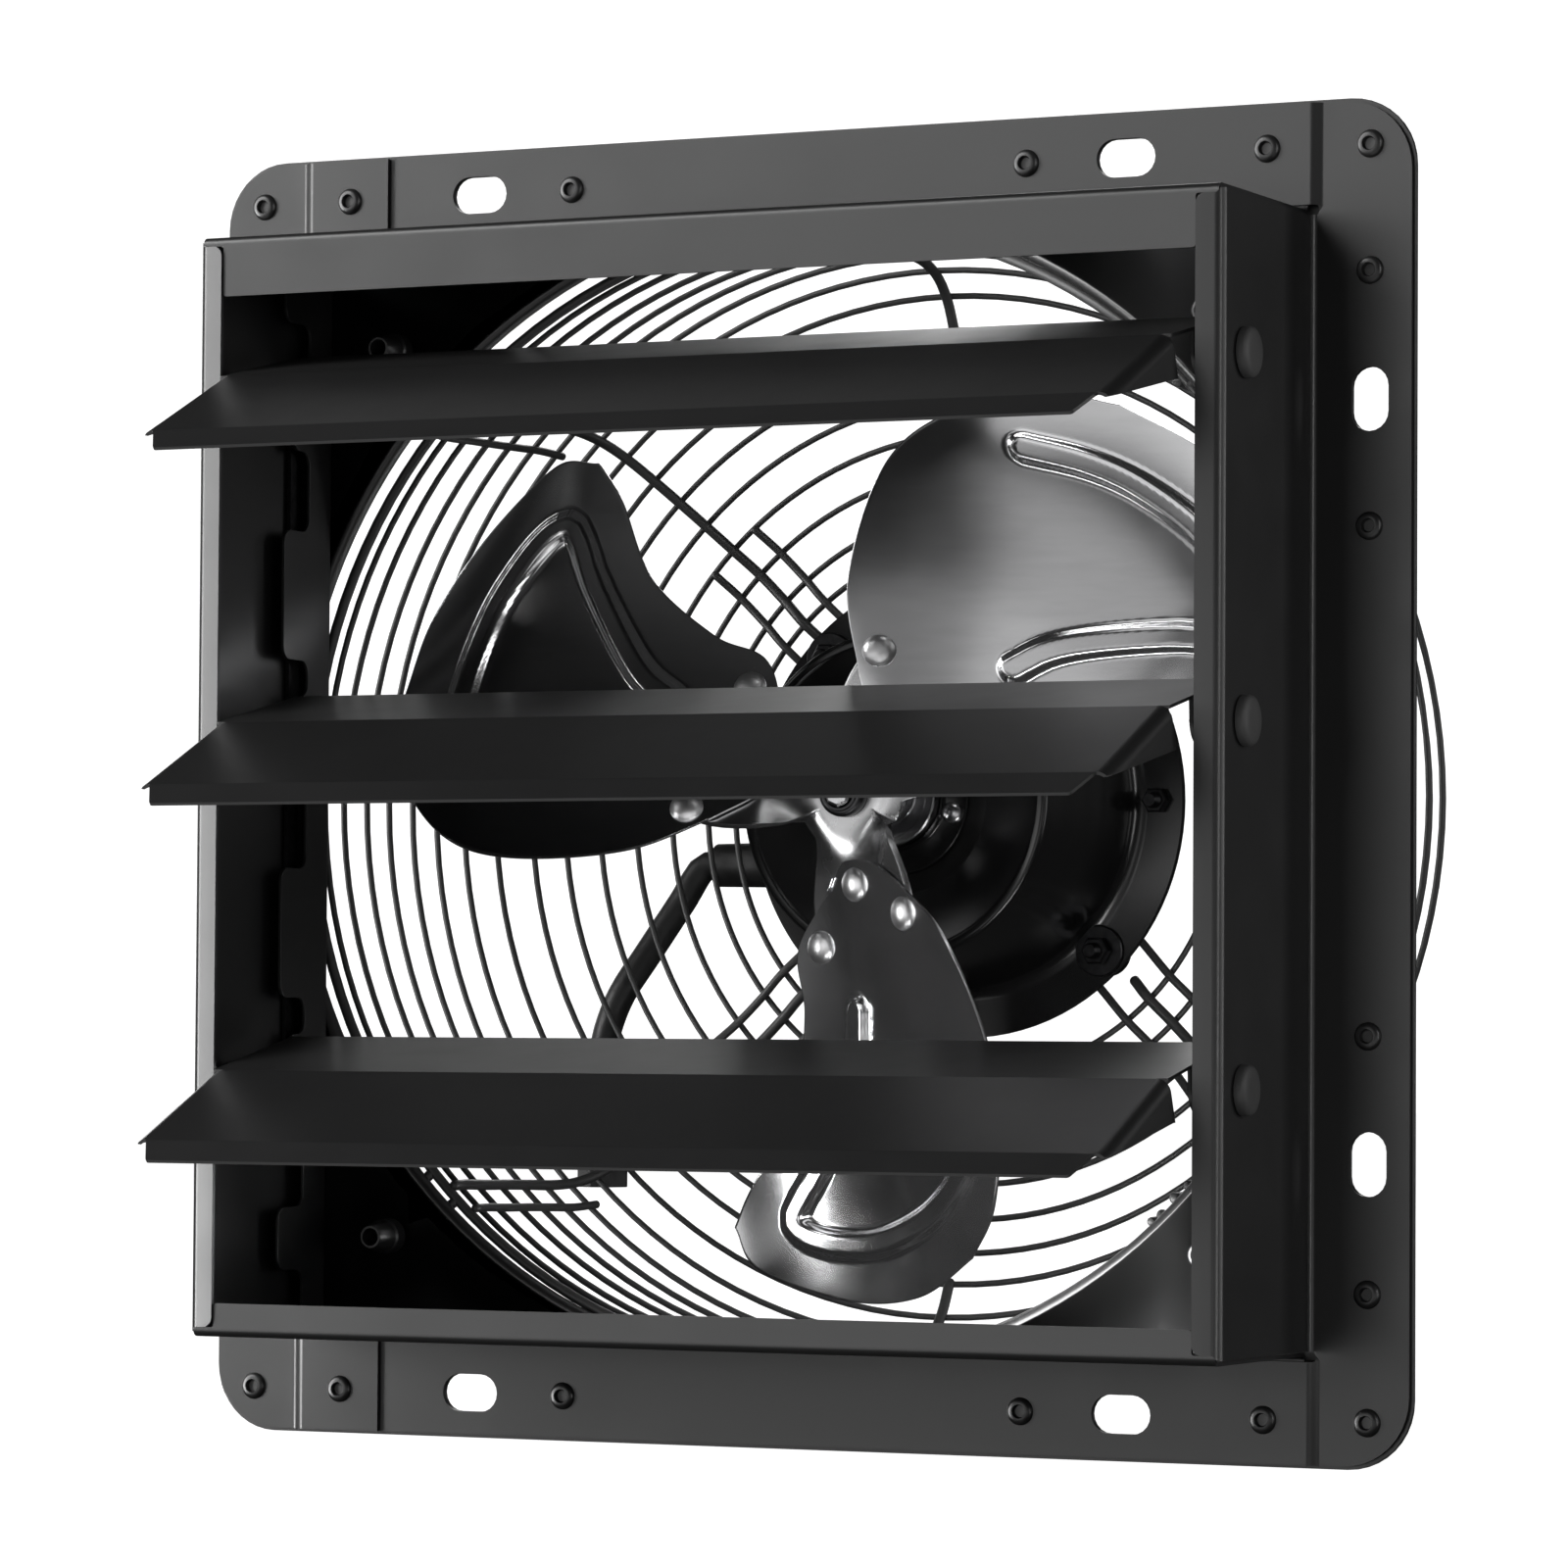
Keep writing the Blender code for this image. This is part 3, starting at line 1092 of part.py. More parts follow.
def lead_gland():
    """Tapered strain relief on the side of the rear shell."""
    route = smooth_line(LEAD_ROUTE, LEAD_POINTS)
    tip, along = Vector(route[0]), Vector(route[1] - route[0])
    start = MOTOR_RADIUS + FIT * 2 - Vector((tip.x, tip.z)).length
    mesh = turned([(0, -FIT), (GLAND_TIP_RADIUS, -FIT), (GLAND_ROOT_RADIUS, start), (0, start)],
                  ROUND_STEPS, "Z")
    mesh.transform(Matrix.Translation(tip) @ along.to_track_quat("Z", "Y").to_matrix().to_4x4())
    return mesh


def motor_lead():
    """Cable from the gland to the terminal box, over the back of the guard."""
    return tube(smooth_line(LEAD_ROUTE, LEAD_POINTS), LEAD_DIAMETER, resolution=2)


def terminal_box():
    """Open moulded box with the cable's entry on top and a supply entry below."""
    top, bottom = -TERMINAL_ENTRY, -TERMINAL_ENTRY - TERMINAL_HEIGHT
    low, high = TERMINAL_FRONT, TERMINAL_FRONT + TERMINAL_DEPTH
    middle = (TERMINAL_X, (top + bottom) / 2)
    outer = rounded(rectangle(TERMINAL_WIDTH, TERMINAL_HEIGHT, middle), TERMINAL_CORNER)
    shell = plate([outer], "XZ", low, high)
    entry = cylinder(ENTRY_RADIUS, bottom - ENTRY_LENGTH, bottom + TERMINAL_WALL / 2, axis="Z",
                     centre=(TERMINAL_X, TERMINAL_Y, 0))
    return united(shell, entry)


def terminal_cuts():
    top, bottom = -TERMINAL_ENTRY, -TERMINAL_ENTRY - TERMINAL_HEIGHT
    low, high = TERMINAL_FRONT, TERMINAL_FRONT + TERMINAL_DEPTH
    inner = rectangle(TERMINAL_WIDTH - TERMINAL_WALL * 2, TERMINAL_HEIGHT - TERMINAL_WALL * 2,
                      (TERMINAL_X, (top + bottom) / 2))
    inside = plate([inner], "XZ", low + TERMINAL_WALL, high + OVERRUN)
    place = (TERMINAL_X, TERMINAL_Y, 0)
    lead_hole = cylinder(LEAD_DIAMETER / 2 + FIT, top - TERMINAL_WALL - OVERRUN / 2, top + OVERRUN,
                         axis="Z", centre=place)
    supply_hole = cylinder(ENTRY_BORE_RADIUS, bottom - ENTRY_LENGTH - OVERRUN,
                           bottom + TERMINAL_WALL + OVERRUN / 2, axis="Z", centre=place)
    return [inside, lead_hole, supply_hole]


def terminal_cover():
    """Flat lid on the back of the terminal box."""
    seat = TERMINAL_FRONT + TERMINAL_DEPTH + FIT
    middle = (TERMINAL_X, -TERMINAL_ENTRY - TERMINAL_HEIGHT / 2)
    outline = rounded(rectangle(TERMINAL_WIDTH, TERMINAL_HEIGHT, middle), TERMINAL_CORNER)
    return plate([outline], "XZ", seat, seat + COVER_THICKNESS)


def build_lead():
    part("lead_gland", lead_gland(), RUBBER)
    part("motor_lead", motor_lead(), RUBBER)
    part("terminal_box", terminal_box(), BLACK_PLASTIC, cuts=terminal_cuts())
    part("terminal_box_cover", terminal_cover(), BLACK_PLASTIC)


build_box()
build_louvres()
build_guard()
build_motor()
build_fan()
build_lead()
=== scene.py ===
# Shutter exhaust fan: its looks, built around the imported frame. Metres, X right, Y into the wall, Z up.
import json
import math

import bmesh
import bpy
import numpy as np
from mathutils import Matrix, Vector
from mathutils.geometry import delaunay_2d_cdt


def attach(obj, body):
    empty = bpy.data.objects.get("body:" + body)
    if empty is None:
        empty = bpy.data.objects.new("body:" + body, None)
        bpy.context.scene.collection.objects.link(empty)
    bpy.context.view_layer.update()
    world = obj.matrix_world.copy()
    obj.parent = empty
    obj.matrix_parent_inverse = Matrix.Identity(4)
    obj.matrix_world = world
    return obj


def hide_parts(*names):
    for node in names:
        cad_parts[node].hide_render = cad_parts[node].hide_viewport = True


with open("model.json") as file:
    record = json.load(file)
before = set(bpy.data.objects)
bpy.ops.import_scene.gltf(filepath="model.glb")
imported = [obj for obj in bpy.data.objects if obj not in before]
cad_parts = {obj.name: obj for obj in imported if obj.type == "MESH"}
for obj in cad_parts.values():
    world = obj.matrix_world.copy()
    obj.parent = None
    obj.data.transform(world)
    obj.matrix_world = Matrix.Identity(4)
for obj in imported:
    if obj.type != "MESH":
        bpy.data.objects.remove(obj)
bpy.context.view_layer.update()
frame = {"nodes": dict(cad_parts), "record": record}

nodes = frame["nodes"]
print("frame loaded:", len(nodes), "nodes")


# camera: the photograph's own place and angle
cameraSet = dict(lens=147.47, sensor=36, farEnd=40, place=(0.8239, -1.7227, -0.0737), yaw=25.659, pitch=2.2465,
                 roll=0.3604)


def newObject(name, data):
    thing = bpy.data.objects.new(name, data)
    bpy.context.scene.collection.objects.link(thing)
    return thing


def placeCamera(c):
    yaw, pitch, roll = (math.radians(c[k]) for k in ("yaw", "pitch", "roll"))
    right = Vector((math.cos(yaw), math.sin(yaw), 0))
    ahead = Vector((-math.sin(yaw), math.cos(yaw), 0))
    up = Vector((0, 0, 1))
    ahead, up = ahead * math.cos(pitch) + up * math.sin(pitch), up * math.cos(pitch) - ahead * math.sin(pitch)
    right, up = right * math.cos(roll) + up * math.sin(roll), up * math.cos(roll) - right * math.sin(roll)
    data = bpy.data.cameras.new("camera")
    data.lens, data.sensor_width, data.clip_end = c["lens"], c["sensor"], c["farEnd"]
    camera = newObject("camera", data)
    camera.matrix_world = Matrix.Translation(c["place"]) @ Matrix((right, up, -ahead)).transposed().to_4x4()
    bpy.context.scene.camera = camera


placeCamera(cameraSet)
print("camera placed")


# materials, all on Object coordinates in metres
def newMaterial(name):
    material = bpy.data.materials.new(name)
    material.use_nodes = True
    tree = material.node_tree
    return material, tree, tree.nodes["Principled BSDF"]


def setInputs(node, values):
    for socket, value in values.items():
        node.inputs[socket].default_value = value


def noise(tree, scale, detail=4, rough=0.55, stretch=None):
    # noise on Object coordinates, stretched along an axis where the sheet was rolled or brushed
    place = tree.nodes.new("ShaderNodeTexCoord").outputs["Object"]
    if stretch:
        mapping = tree.nodes.new("ShaderNodeMapping")
        setInputs(mapping, {"Scale": stretch})
        tree.links.new(place, mapping.inputs["Vector"])
        place = mapping.outputs["Vector"]
    node = tree.nodes.new("ShaderNodeTexNoise")
    setInputs(node, {"Scale": scale, "Detail": detail, "Roughness": rough})
    tree.links.new(place, node.inputs["Vector"])
    return node.outputs["Fac"]


def ramp(tree, source, low, high, start=0.3, end=0.7):
    # spreads a noise between two tones, each one grey or (red and green, blue)
    node = tree.nodes.new("ShaderNodeValToRGB")
    for element, place, tone in zip(node.color_ramp.elements, (start, end), (low, high)):
        grey, blue = tone if isinstance(tone, tuple) else (tone, tone)
        element.position, element.color = place, (grey, grey, blue, 1)
    tree.links.new(source, node.inputs["Fac"])
    return node.outputs["Color"]


def bump(tree, shader, layers):
    # stacks bumps: each layer is a height, its strength and its depth in metres
    last = None
    for height, strength, depth in layers:
        node = tree.nodes.new("ShaderNodeBump")
        setInputs(node, {"Strength": strength, "Distance": depth})
        tree.links.new(height, node.inputs["Height"])
        if last:
            tree.links.new(last, node.inputs["Normal"])
        last = node.outputs["Normal"]
    tree.links.new(last, shader.inputs["Normal"])


def finish(name, s, tone, sheen, bumps):
    # tone and gloss drift with a noise each; a bump is its noise (none: the tone's own), strength and depth
    material, tree, shader = newMaterial(name)
    drift = noise(tree, *tone)
    tree.links.new(ramp(tree, drift, s["dark"], s["light"]), shader.inputs["Base Color"])
    tree.links.new(ramp(tree, noise(tree, *sheen), *s["gloss"]), shader.inputs["Roughness"])
    bump(tree, shader, [(noise(tree, *wave) if wave else drift, strength, depth) for wave, strength, depth in bumps])
    return material, shader


paintSet = dict(dark=(0.0150, 0.0152), light=(0.0175, 0.0178), gloss=(0.35, 0.39), peel=420, grain=2600, level=1.0)
guardSet = dict(dark=(0.046, 0.0462), light=(0.056, 0.0562), gloss=(0.40, 0.48), peel=600, grain=3000, level=0.6)
motorSet = dict(dark=(0.006, 0.0062), light=(0.009, 0.0092), gloss=(0.20, 0.24), peel=350, grain=2400, level=0.6)


def paintMaterial(name, s):
    # powder coat: slow drift of tone, orange peel and a fine grain
    bumps = [((s["peel"], 2), 0.05, 0.0001), ((s["grain"], 1), 0.05, 0.00005)]
    material, shader = finish(name, s, (9,), (40,), bumps)
    setInputs(shader, {"Specular IOR Level": s["level"]})
    return material


bladeSet = dict(dark=(0.72, 0.73), light=(0.78, 0.79), gloss=(0.15, 0.18), rolled=(14, 14, 90))
spiderSet = dict(dark=(0.40, 0.405), light=(0.45, 0.455), gloss=(0.24, 0.30), rolled=(30, 30, 30))
plateSet = dict(dark=(0.50, 0.51), light=(0.62, 0.63), gloss=(0.18, 0.30), rolled=(90, 90, 90))
satinSet = dict(dark=(0.52, 0.525), light=(0.64, 0.645), gloss=(0.36, 0.44), rolled=(60, 60, 60))
boltSet = dict(dark=(0.030, 0.031), light=(0.055, 0.057), gloss=(0.28, 0.40), rolled=(120, 120, 120))


def steelMaterial(name, s):
    # sheet steel with rolling streaks in tone, gloss and height
    bumps = [(None, 0.015, 0.0001), ((900, 2), 0.02, 0.0001)]
    material, shader = finish(name, s, (3, 5, 0.6, s["rolled"]), (60, 5), bumps)
    setInputs(shader, {"Metallic": 1.0})
    return material


capSet = dict(dark=0.080, light=0.115, gloss=(0.42, 0.55), grain=1500)
terminalSet = dict(dark=0.012, light=0.020, gloss=(0.45, 0.60), grain=1200)
sheathSet = dict(dark=0.008, light=0.015, gloss=(0.45, 0.62), grain=900)


def plasticMaterial(name, s):
    # moulded plastic or rubber with a fine spark-eroded grain
    return finish(name, s, (30,), (200,), [((s["grain"], 2), 0.15, 0.0002)])[0]


blackPaint = paintMaterial("black_powder_coat", paintSet)
guardCoat = paintMaterial("black_wire_coat", guardSet)
motorPaint = paintMaterial("black_motor_enamel", motorSet)
bladeSteel = steelMaterial("bright_blade_steel", bladeSet)
spiderSteel = steelMaterial("satin_plated_steel", spiderSet)
plateSteel = steelMaterial("bright_fastener_steel", plateSet)
satinSteel = steelMaterial("satin_rivet_steel", satinSet)
darkSteel = steelMaterial("blackened_steel", boltSet)
capPlastic = plasticMaterial("black_cap_plastic", capSet)
boxPlastic = plasticMaterial("black_box_plastic", terminalSet)
sheathRubber = plasticMaterial("black_cable_sheath", sheathSet)
slots = {"black_paint": blackPaint, "guard_coating": guardCoat, "blade_steel": bladeSteel,
         "shaft_steel": plateSteel, "dark_steel": darkSteel, "black_plastic": boxPlastic,
         "black_rubber": sheathRubber}
for part in frame["record"]["subparts"]:
    mesh = nodes[part["node"]].data
    mesh.materials.clear()
    mesh.materials.append(slots[part["material_slot"]])
print("materials made")


# making pieces from arrays
def gridFaces(rows, columns, wrapRows=False, wrapColumns=False):
    # quads between neighbours of a grid, closed round where it wraps
    i = np.arange(rows if wrapRows else rows - 1)[:, None]
    j = np.arange(columns if wrapColumns else columns - 1)[None, :]
    a, b = i * columns + j, ((i + 1) % rows) * columns + j
    c, d = ((i + 1) % rows) * columns + (j + 1) % columns, i * columns + (j + 1) % columns
    return np.stack(np.broadcast_arrays(a, b, c, d), -1).reshape(-1, 4)


def joined(name, shapes):
    # one mesh from several (places, faces) pairs
    places, faces, first = [], [], 0
    for points, quads in shapes:
        points = np.asarray(points, float).reshape(-1, 3)
        places.append(points)
        faces += [[int(v) + first for v in face] for face in quads]
        first += len(points)
    mesh = bpy.data.meshes.new(name)
    mesh.from_pydata(np.vstack(places).tolist(), [], faces)
    return mesh


def cleaned(mesh, outward=True, distance=0.000002):
    # seams and poles merged, flat slivers removed, faces turned outwards
    shape = bmesh.new()
    shape.from_mesh(mesh)
    bmesh.ops.remove_doubles(shape, verts=shape.verts, dist=distance)
    bmesh.ops.dissolve_degenerate(shape, edges=shape.edges, dist=distance)
    if outward:
        bmesh.ops.recalc_face_normals(shape, faces=shape.faces)
    shape.to_mesh(mesh)
    shape.free()
    return mesh


def bake(thing):
    # the object's modifiers made part of its mesh
    graph = bpy.context.evaluated_depsgraph_get()
    solid = bpy.data.meshes.new_from_object(thing.evaluated_get(graph))
    thing.modifiers.clear()
    thing.data = solid


def piece(name, shapes, material, replaced=(), body="root", thickness=0, edge=0, smooth=32, offset=0,
          facesRoom=False, flat=False):
    # finished object: doubles merged, wall and edge rounding made real, sharp edges by angle
    mesh = cleaned(joined(name, shapes))
    if facesRoom:
        if sum(f.normal.y * f.area for f in mesh.polygons) > 0:
            mesh.flip_normals()
        cleaned(mesh, outward=False)
    thing = newObject(name, mesh)
    if thickness:
        wall = thing.modifiers.new("wall", "SOLIDIFY")
        wall.thickness, wall.offset = thickness, offset
    if edge:
        bevel = thing.modifiers.new("edge", "BEVEL")
        bevel.width, bevel.segments, bevel.limit_method = edge, 2, "ANGLE"
        bevel.angle_limit, bevel.use_clamp_overlap = math.radians(50), True
    if thickness or edge:
        bake(thing)
    thing.data.materials.append(material)
    thing.data.shade_smooth()
    thing.data.set_sharp_from_angle(angle=math.radians(smooth))
    if flat:
        # large faces set the normals at their edges, so flat sheet stays flat beside its bends
        even = thing.modifiers.new("even", "WEIGHTED_NORMAL")
        even.mode, even.weight, even.keep_sharp = "FACE_AREA", 60, True
        bake(thing)
    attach(thing, body)
    if replaced:
        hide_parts(*replaced)
    return thing


def roundTurn(count):
    return np.linspace(0, 2 * math.pi, count, endpoint=False)


def lathe(profile, count=64, centre=(0, 0, 0), axis="Y"):
    # profile of (radius, height) turned about an axis: place = centre + radius in the plane + height along it
    profile = np.array(profile, float)
    turn = roundTurn(count)
    r, h = profile[:, 0][:, None], np.broadcast_to(profile[:, 1][:, None], (len(profile), count))
    u, v = r * np.cos(turn), r * np.sin(turn)
    order = {"X": (h, u, v), "Y": (u, h, v), "Z": (u, v, h)}[axis]
    points = np.stack(order, -1) + np.array(centre, float)
    closed = profile[0, 0] > 0 and profile[-1, 0] > 0
    return points, gridFaces(len(profile), count, closed, True)


def softened(profile, radius, steps=3, closed=False):
    # profile with its corners turned into arcs, as wide as the sides allow
    points = [Vector(p) for p in profile]
    count = len(points)
    line = [] if closed else [points[0]]
    for k in (range(count) if closed else range(1, count - 1)):
        before, corner, after = points[k - 1], points[k], points[(k + 1) % count]
        one, two = before - corner, after - corner
        size = radius[k] if isinstance(radius, (list, tuple)) else radius
        half = one.angle(two) / 2
        if size <= 0 or half > math.pi / 2 - 0.01:
            line.append(corner)
            continue
        reach = min(size / math.tan(half), one.length * 0.49, two.length * 0.49)
        size = reach * math.tan(half)
        one.normalize()
        two.normalize()
        centre = corner + (one + two).normalized() * size / math.sin(half)
        start = corner + one * reach - centre
        turn = start.angle_signed(corner + two * reach - centre)
        line += [centre + Matrix.Rotation(-turn * j / steps, 2) @ start for j in range(steps + 1)]
    if not closed:
        line.append(points[-1])
    return np.array([tuple(p) for p in line])


def ringLoop(radius, count):
    turn = roundTurn(count)
    return radius * np.stack([np.cos(turn), np.sin(turn)], -1)


def slotLoop(centre, length, width, upright=False):
    # stadium: two half circles joined by straight sides
    turn = np.linspace(-math.pi / 2, math.pi / 2, 11)
    end = np.stack([(length - width) / 2 + width / 2 * np.cos(turn), width / 2 * np.sin(turn)], -1)
    loop = np.vstack([end, -end])
    return (loop[:, ::-1] if upright else loop) + np.array(centre, float)


def insideLoops(points, loops):
    # even-odd test of points against closed loops, as whole arrays
    count = np.zeros(len(points), int)
    for loop in loops:
        a, b = loop, np.roll(loop, -1, axis=0)
        above = (a[None, :, 1] > points[:, 1:2]) != (b[None, :, 1] > points[:, 1:2])
        rise = np.where(b[:, 1] == a[:, 1], 1e-12, b[:, 1] - a[:, 1])
        cross = a[None, :, 0] + (points[:, 1:2] - a[None, :, 1]) * (b[:, 0] - a[:, 0]) / rise
        count += (above & (points[:, 0:1] < cross)).sum(1)
    return count % 2 == 1


def flatPattern(loops, lines=()):
    # triangles of a flat sheet inside its loops (outline, then holes), split along straight lines
    places, edges = [], []
    for loop in loops:
        first = len(places)
        places += [tuple(p) for p in loop]
        edges += [(first + k, first + (k + 1) % len(loop)) for k in range(len(loop))]
    for a, b in lines:
        edges.append((len(places), len(places) + 1))
        places += [a, b]
    found = delaunay_2d_cdt([Vector(p) for p in places], edges, [], 0, 1e-8)
    flat = np.array([tuple(p) for p in found[0]])
    faces = np.array([list(face) for face in found[2] if len(face) == 3])
    keep = insideLoops(flat[faces].mean(1), [np.array(loop, float) for loop in loops])
    return flat, faces[keep]


def unit(vectors):
    return vectors / np.linalg.norm(vectors, axis=1)[:, None]


def squareTo(line):
    # unit vectors (dy, -dx) at right angles to a flat line
    step = np.gradient(line, axis=0)
    return unit(np.stack([step[:, 1], -step[:, 0]], -1))


def lengthsAlong(line):
    return np.concatenate([[0], np.cumsum(np.linalg.norm(np.diff(line, axis=0), axis=1))])


def eased(value, low, high):
    # 0 at low, 1 at high, and 3 t^2 - 2 t^3 between them
    share = np.clip((value - low) / (high - low), 0, 1)
    return share * share * (3 - 2 * share)


def turnedAbout(points, degrees):
    # (radial, depth, across) turned to an angle about the fan's axis
    a = math.radians(degrees)
    x = points[..., 0] * math.cos(a) - points[..., 2] * math.sin(a)
    z = points[..., 0] * math.sin(a) + points[..., 2] * math.cos(a)
    return np.stack([x, points[..., 1], z], -1)


def around(radius, degrees):
    return radius * math.cos(math.radians(degrees)), radius * math.sin(math.radians(degrees))


def standing(profile, count, place, direction):
    # turned shape whose own axis points along a direction from its place
    points, faces = lathe(profile, count, axis="Z")
    turn = np.array(Vector(direction).to_track_quat("Z", "Y").to_matrix())
    return points @ turn.T + np.array(place), faces


class Fold:
    # sheet folded along parallel bends: a flat place (s, t) goes to (profile at length s, t)
    def __init__(self, path, bend):
        self.line = softened(path, bend, 6)
        self.lengths = lengthsAlong(self.line)

    def at(self, s):
        return np.stack([np.interp(s, self.lengths, self.line[:, k]) for k in (0, 1)], -1)

    def bends(self, low, high):
        return [((s, low), (s, high)) for s in self.lengths[1:-1]]


def flipped(shape):
    # the same shape on the other side of the middle plane
    points, faces = shape
    points = np.array(points, float)
    points[..., 0] *= -1
    return points, [list(face)[::-1] for face in faces]


def tube(path, radius, sides=8, across=(0, 1, 0), closed=False, capped=True):
    # round wire: circle of radius r about each place of the path, square to the path
    path = np.array(path, float)
    step = unit((np.roll(path, -1, 0) - np.roll(path, 1, 0)) if closed else np.gradient(path, axis=0))
    side = unit(np.cross(step, np.array(across, float)))
    up = np.cross(side, step)
    size = np.full(len(path), radius)
    if not closed and capped:
        pick = [0, 0] + list(range(len(path))) + [len(path) - 1] * 2
        path, side, up = path[pick], side[pick], up[pick]
        size = np.concatenate([[0, radius * 0.75], size, [radius * 0.75, 0]])
        push = np.zeros(len(path))
        push[[0, 1, -2, -1]] = [-radius * 0.45, -radius * 0.32, radius * 0.32, radius * 0.45]
        path = path + push[:, None] * step[pick]
    turn = roundTurn(sides)[None, :, None]
    points = path[:, None] + size[:, None, None] * (np.cos(turn) * side[:, None] + np.sin(turn) * up[:, None])
    return points, gridFaces(len(path), sides, closed, True)


def smoothLine(points, count):
    # Catmull-Rom curve through the points, evenly spaced along its length
    points = np.array(points, float)
    ends = np.vstack([2 * points[0] - points[1], points, 2 * points[-1] - points[-2]])
    t = np.linspace(0, 1, 24, endpoint=False)[:, None]
    runs = [(2 * b + (c - a) * t + (2 * a - 5 * b + 4 * c - d) * t ** 2 + (3 * b - a - 3 * c + d) * t ** 3) / 2
            for a, b, c, d in zip(ends, ends[1:], ends[2:], ends[3:])]
    line = np.vstack(runs + [points[-1:]])
    length = lengthsAlong(line)
    places = np.linspace(0, length[-1], count)
    return np.stack([np.interp(places, length, column) for column in line.T], -1)


# motor lead: a short free cable from its gland on the motor into the terminal box
lead = dict(diameter=0.0092, points=25, glandTip=0.0070, glandRoot=0.0076, lipRadius=0.0004, motorRadius=0.0583,
            grip=0.0002,
            route=[(-0.0985, 0.1485, -0.0185), (-0.1040, 0.1482, -0.0196), (-0.1100, 0.1460, -0.0300),
                   (-0.1155, 0.1425, -0.0400), (-0.1200, 0.1385, -0.0490), (-0.1250, 0.1340, -0.0590),
                   (-0.1295, 0.1340, -0.0680), (-0.1325, 0.1347, -0.0770), (-0.1330, 0.1350, -0.0860)])


def leadGland(g, line):
    # tapered sleeve about the lead's first direction, from the motor's wall to the lead's exit
    root, hole = g["motorRadius"] - math.hypot(line[0][0], line[0][2]), g["diameter"] / 2 - g["grip"]
    profile = softened([(hole, root), (g["glandRoot"], root), (g["glandTip"], 0), (hole, 0)], g["lipRadius"])
    return standing(profile, 40, line[0], line[1] - line[0])


route = smoothLine(lead["route"], lead["points"])
cable = piece("motor_lead_cable", [tube(route, lead["diameter"] / 2, 20, (0, 0.3, 1), capped=False)],
              sheathRubber, ["motor_lead"], smooth=60)
piece("lead_gland_sleeve", [leadGland(lead, route)], sheathRubber, ["lead_gland"], smooth=40)
print("lead laid")


# wall box
box = dict(width=0.3296, height=0.3282, front=-0.07135, sheet=0.0012, bend=0.0017, sideLip=0.0082,
           topLip=0.0180, bottomLip=0.0100, flangeY=-0.0021, tabY=-0.0036, flange=0.195, back=0.196,
           corner=0.020, wallEnd=0.1626, relief=0.0030, tabReach=0.138, joggle=(0.1642, 0.1682),
           channelHalf=0.1633, faceHalf=0.1564, slot=(0.0185, 0.0113), slotLine=0.1824,
           topSlots=0.10675, sideSlots=0.1092, orifice=0.1718, lip=0.0026, lipTilt=0.0008,
           sideBends=(0, 0.0024, 0.0026, 0), lipEnd=0.0014, lipRound=0.0032, lipStep=0.0022, lipCut=0.0010,
           lipCorner=0.0004, seam=0.0002, channelCorner=0.0008)


def sidePanel(b):
    # folded wall: distance in from the flange's edge runs along the fold, z along the bends
    wall, lipY = b["width"] / 2 - b["sheet"] / 2, b["front"] + b["sheet"] / 2
    fold = Fold([(b["flange"], b["flangeY"]), (wall, b["flangeY"]), (wall, lipY),
                 (b["width"] / 2 - b["sideLip"], lipY - b["lipTilt"])], b["sideBends"])
    end, edge, wallEnd = fold.lengths[-1], b["flange"], b["wallEnd"]
    lipAt, lipTop = end - b["sideLip"] + b["lipStep"], wallEnd - b["lipEnd"]
    start, cut = fold.lengths[1] - b["seam"], b["lipCut"]
    tabEdge, tabEnd = wallEnd + b["relief"], edge - b["tabReach"]
    outline = [(0, -edge), (tabEnd, -edge), (tabEnd, -tabEdge), (start, -tabEdge), (start, -wallEnd),
               (lipAt - cut, -wallEnd), (lipAt, -lipTop), (end, -lipTop)]
    outline += [(s, -z) for s, z in outline[::-1]]
    radii = [b["corner"], 0, cut, cut, cut, b["lipCorner"], b["lipCorner"], b["lipRound"]]
    radii += radii[::-1]
    loop = softened(outline, radii, 10, closed=True)
    holes = [slotLoop((edge - b["slotLine"], side * b["sideSlots"]), *b["slot"], upright=True) for side in (-1, 1)]
    steps = [edge - x for x in np.linspace(*b["joggle"], 7)]
    lines = fold.bends(-wallEnd, wallEnd)
    lines += [((s, side * tabEdge), (s, side * edge)) for s in steps for side in (-1, 1)]
    flat, faces = flatPattern([loop] + holes, lines)
    onTab = np.abs(flat[:, 1]) > wallEnd + b["relief"] / 2
    folded = fold.at(flat[:, 0])
    x = edge - flat[:, 0]
    tab = np.stack([x, b["tabY"] + (b["flangeY"] - b["tabY"]) * eased(x, *b["joggle"])], -1)
    place = np.where(onTab[:, None], tab, folded)
    return np.stack([place[:, 0], place[:, 1], flat[:, 1]], -1), faces


def channel(b, side, lip):
    # front face, wall and flange: distance from the face's free edge runs along the fold, x along the bends
    wall, frontY = b["height"] / 2 - b["sheet"] / 2, b["front"] + b["sheet"] / 2
    fold = Fold([(frontY, b["height"] / 2 - lip), (frontY, wall), (b["flangeY"], wall),
                 (b["flangeY"], b["flange"])], b["bend"])
    notch, half, face, end = lip - b["bend"] - b["sheet"], b["channelHalf"], b["faceHalf"], fold.lengths[-1]
    outline = [(0, -face), (notch, -face), (notch, -half), (end, -half)]
    outline += [(s, -x) for s, x in outline[::-1]]
    edge = end - b["flange"] + b["slotLine"]
    holes = [slotLoop((edge, x * b["topSlots"]), *b["slot"], upright=True) for x in (-1, 1)]
    flat, faces = flatPattern([softened(outline, b["channelCorner"], 4, closed=True)] + holes,
                              fold.bends(-half, half))
    place = fold.at(flat[:, 0])
    return np.stack([flat[:, 1], place[:, 0], side * place[:, 1]], -1), faces


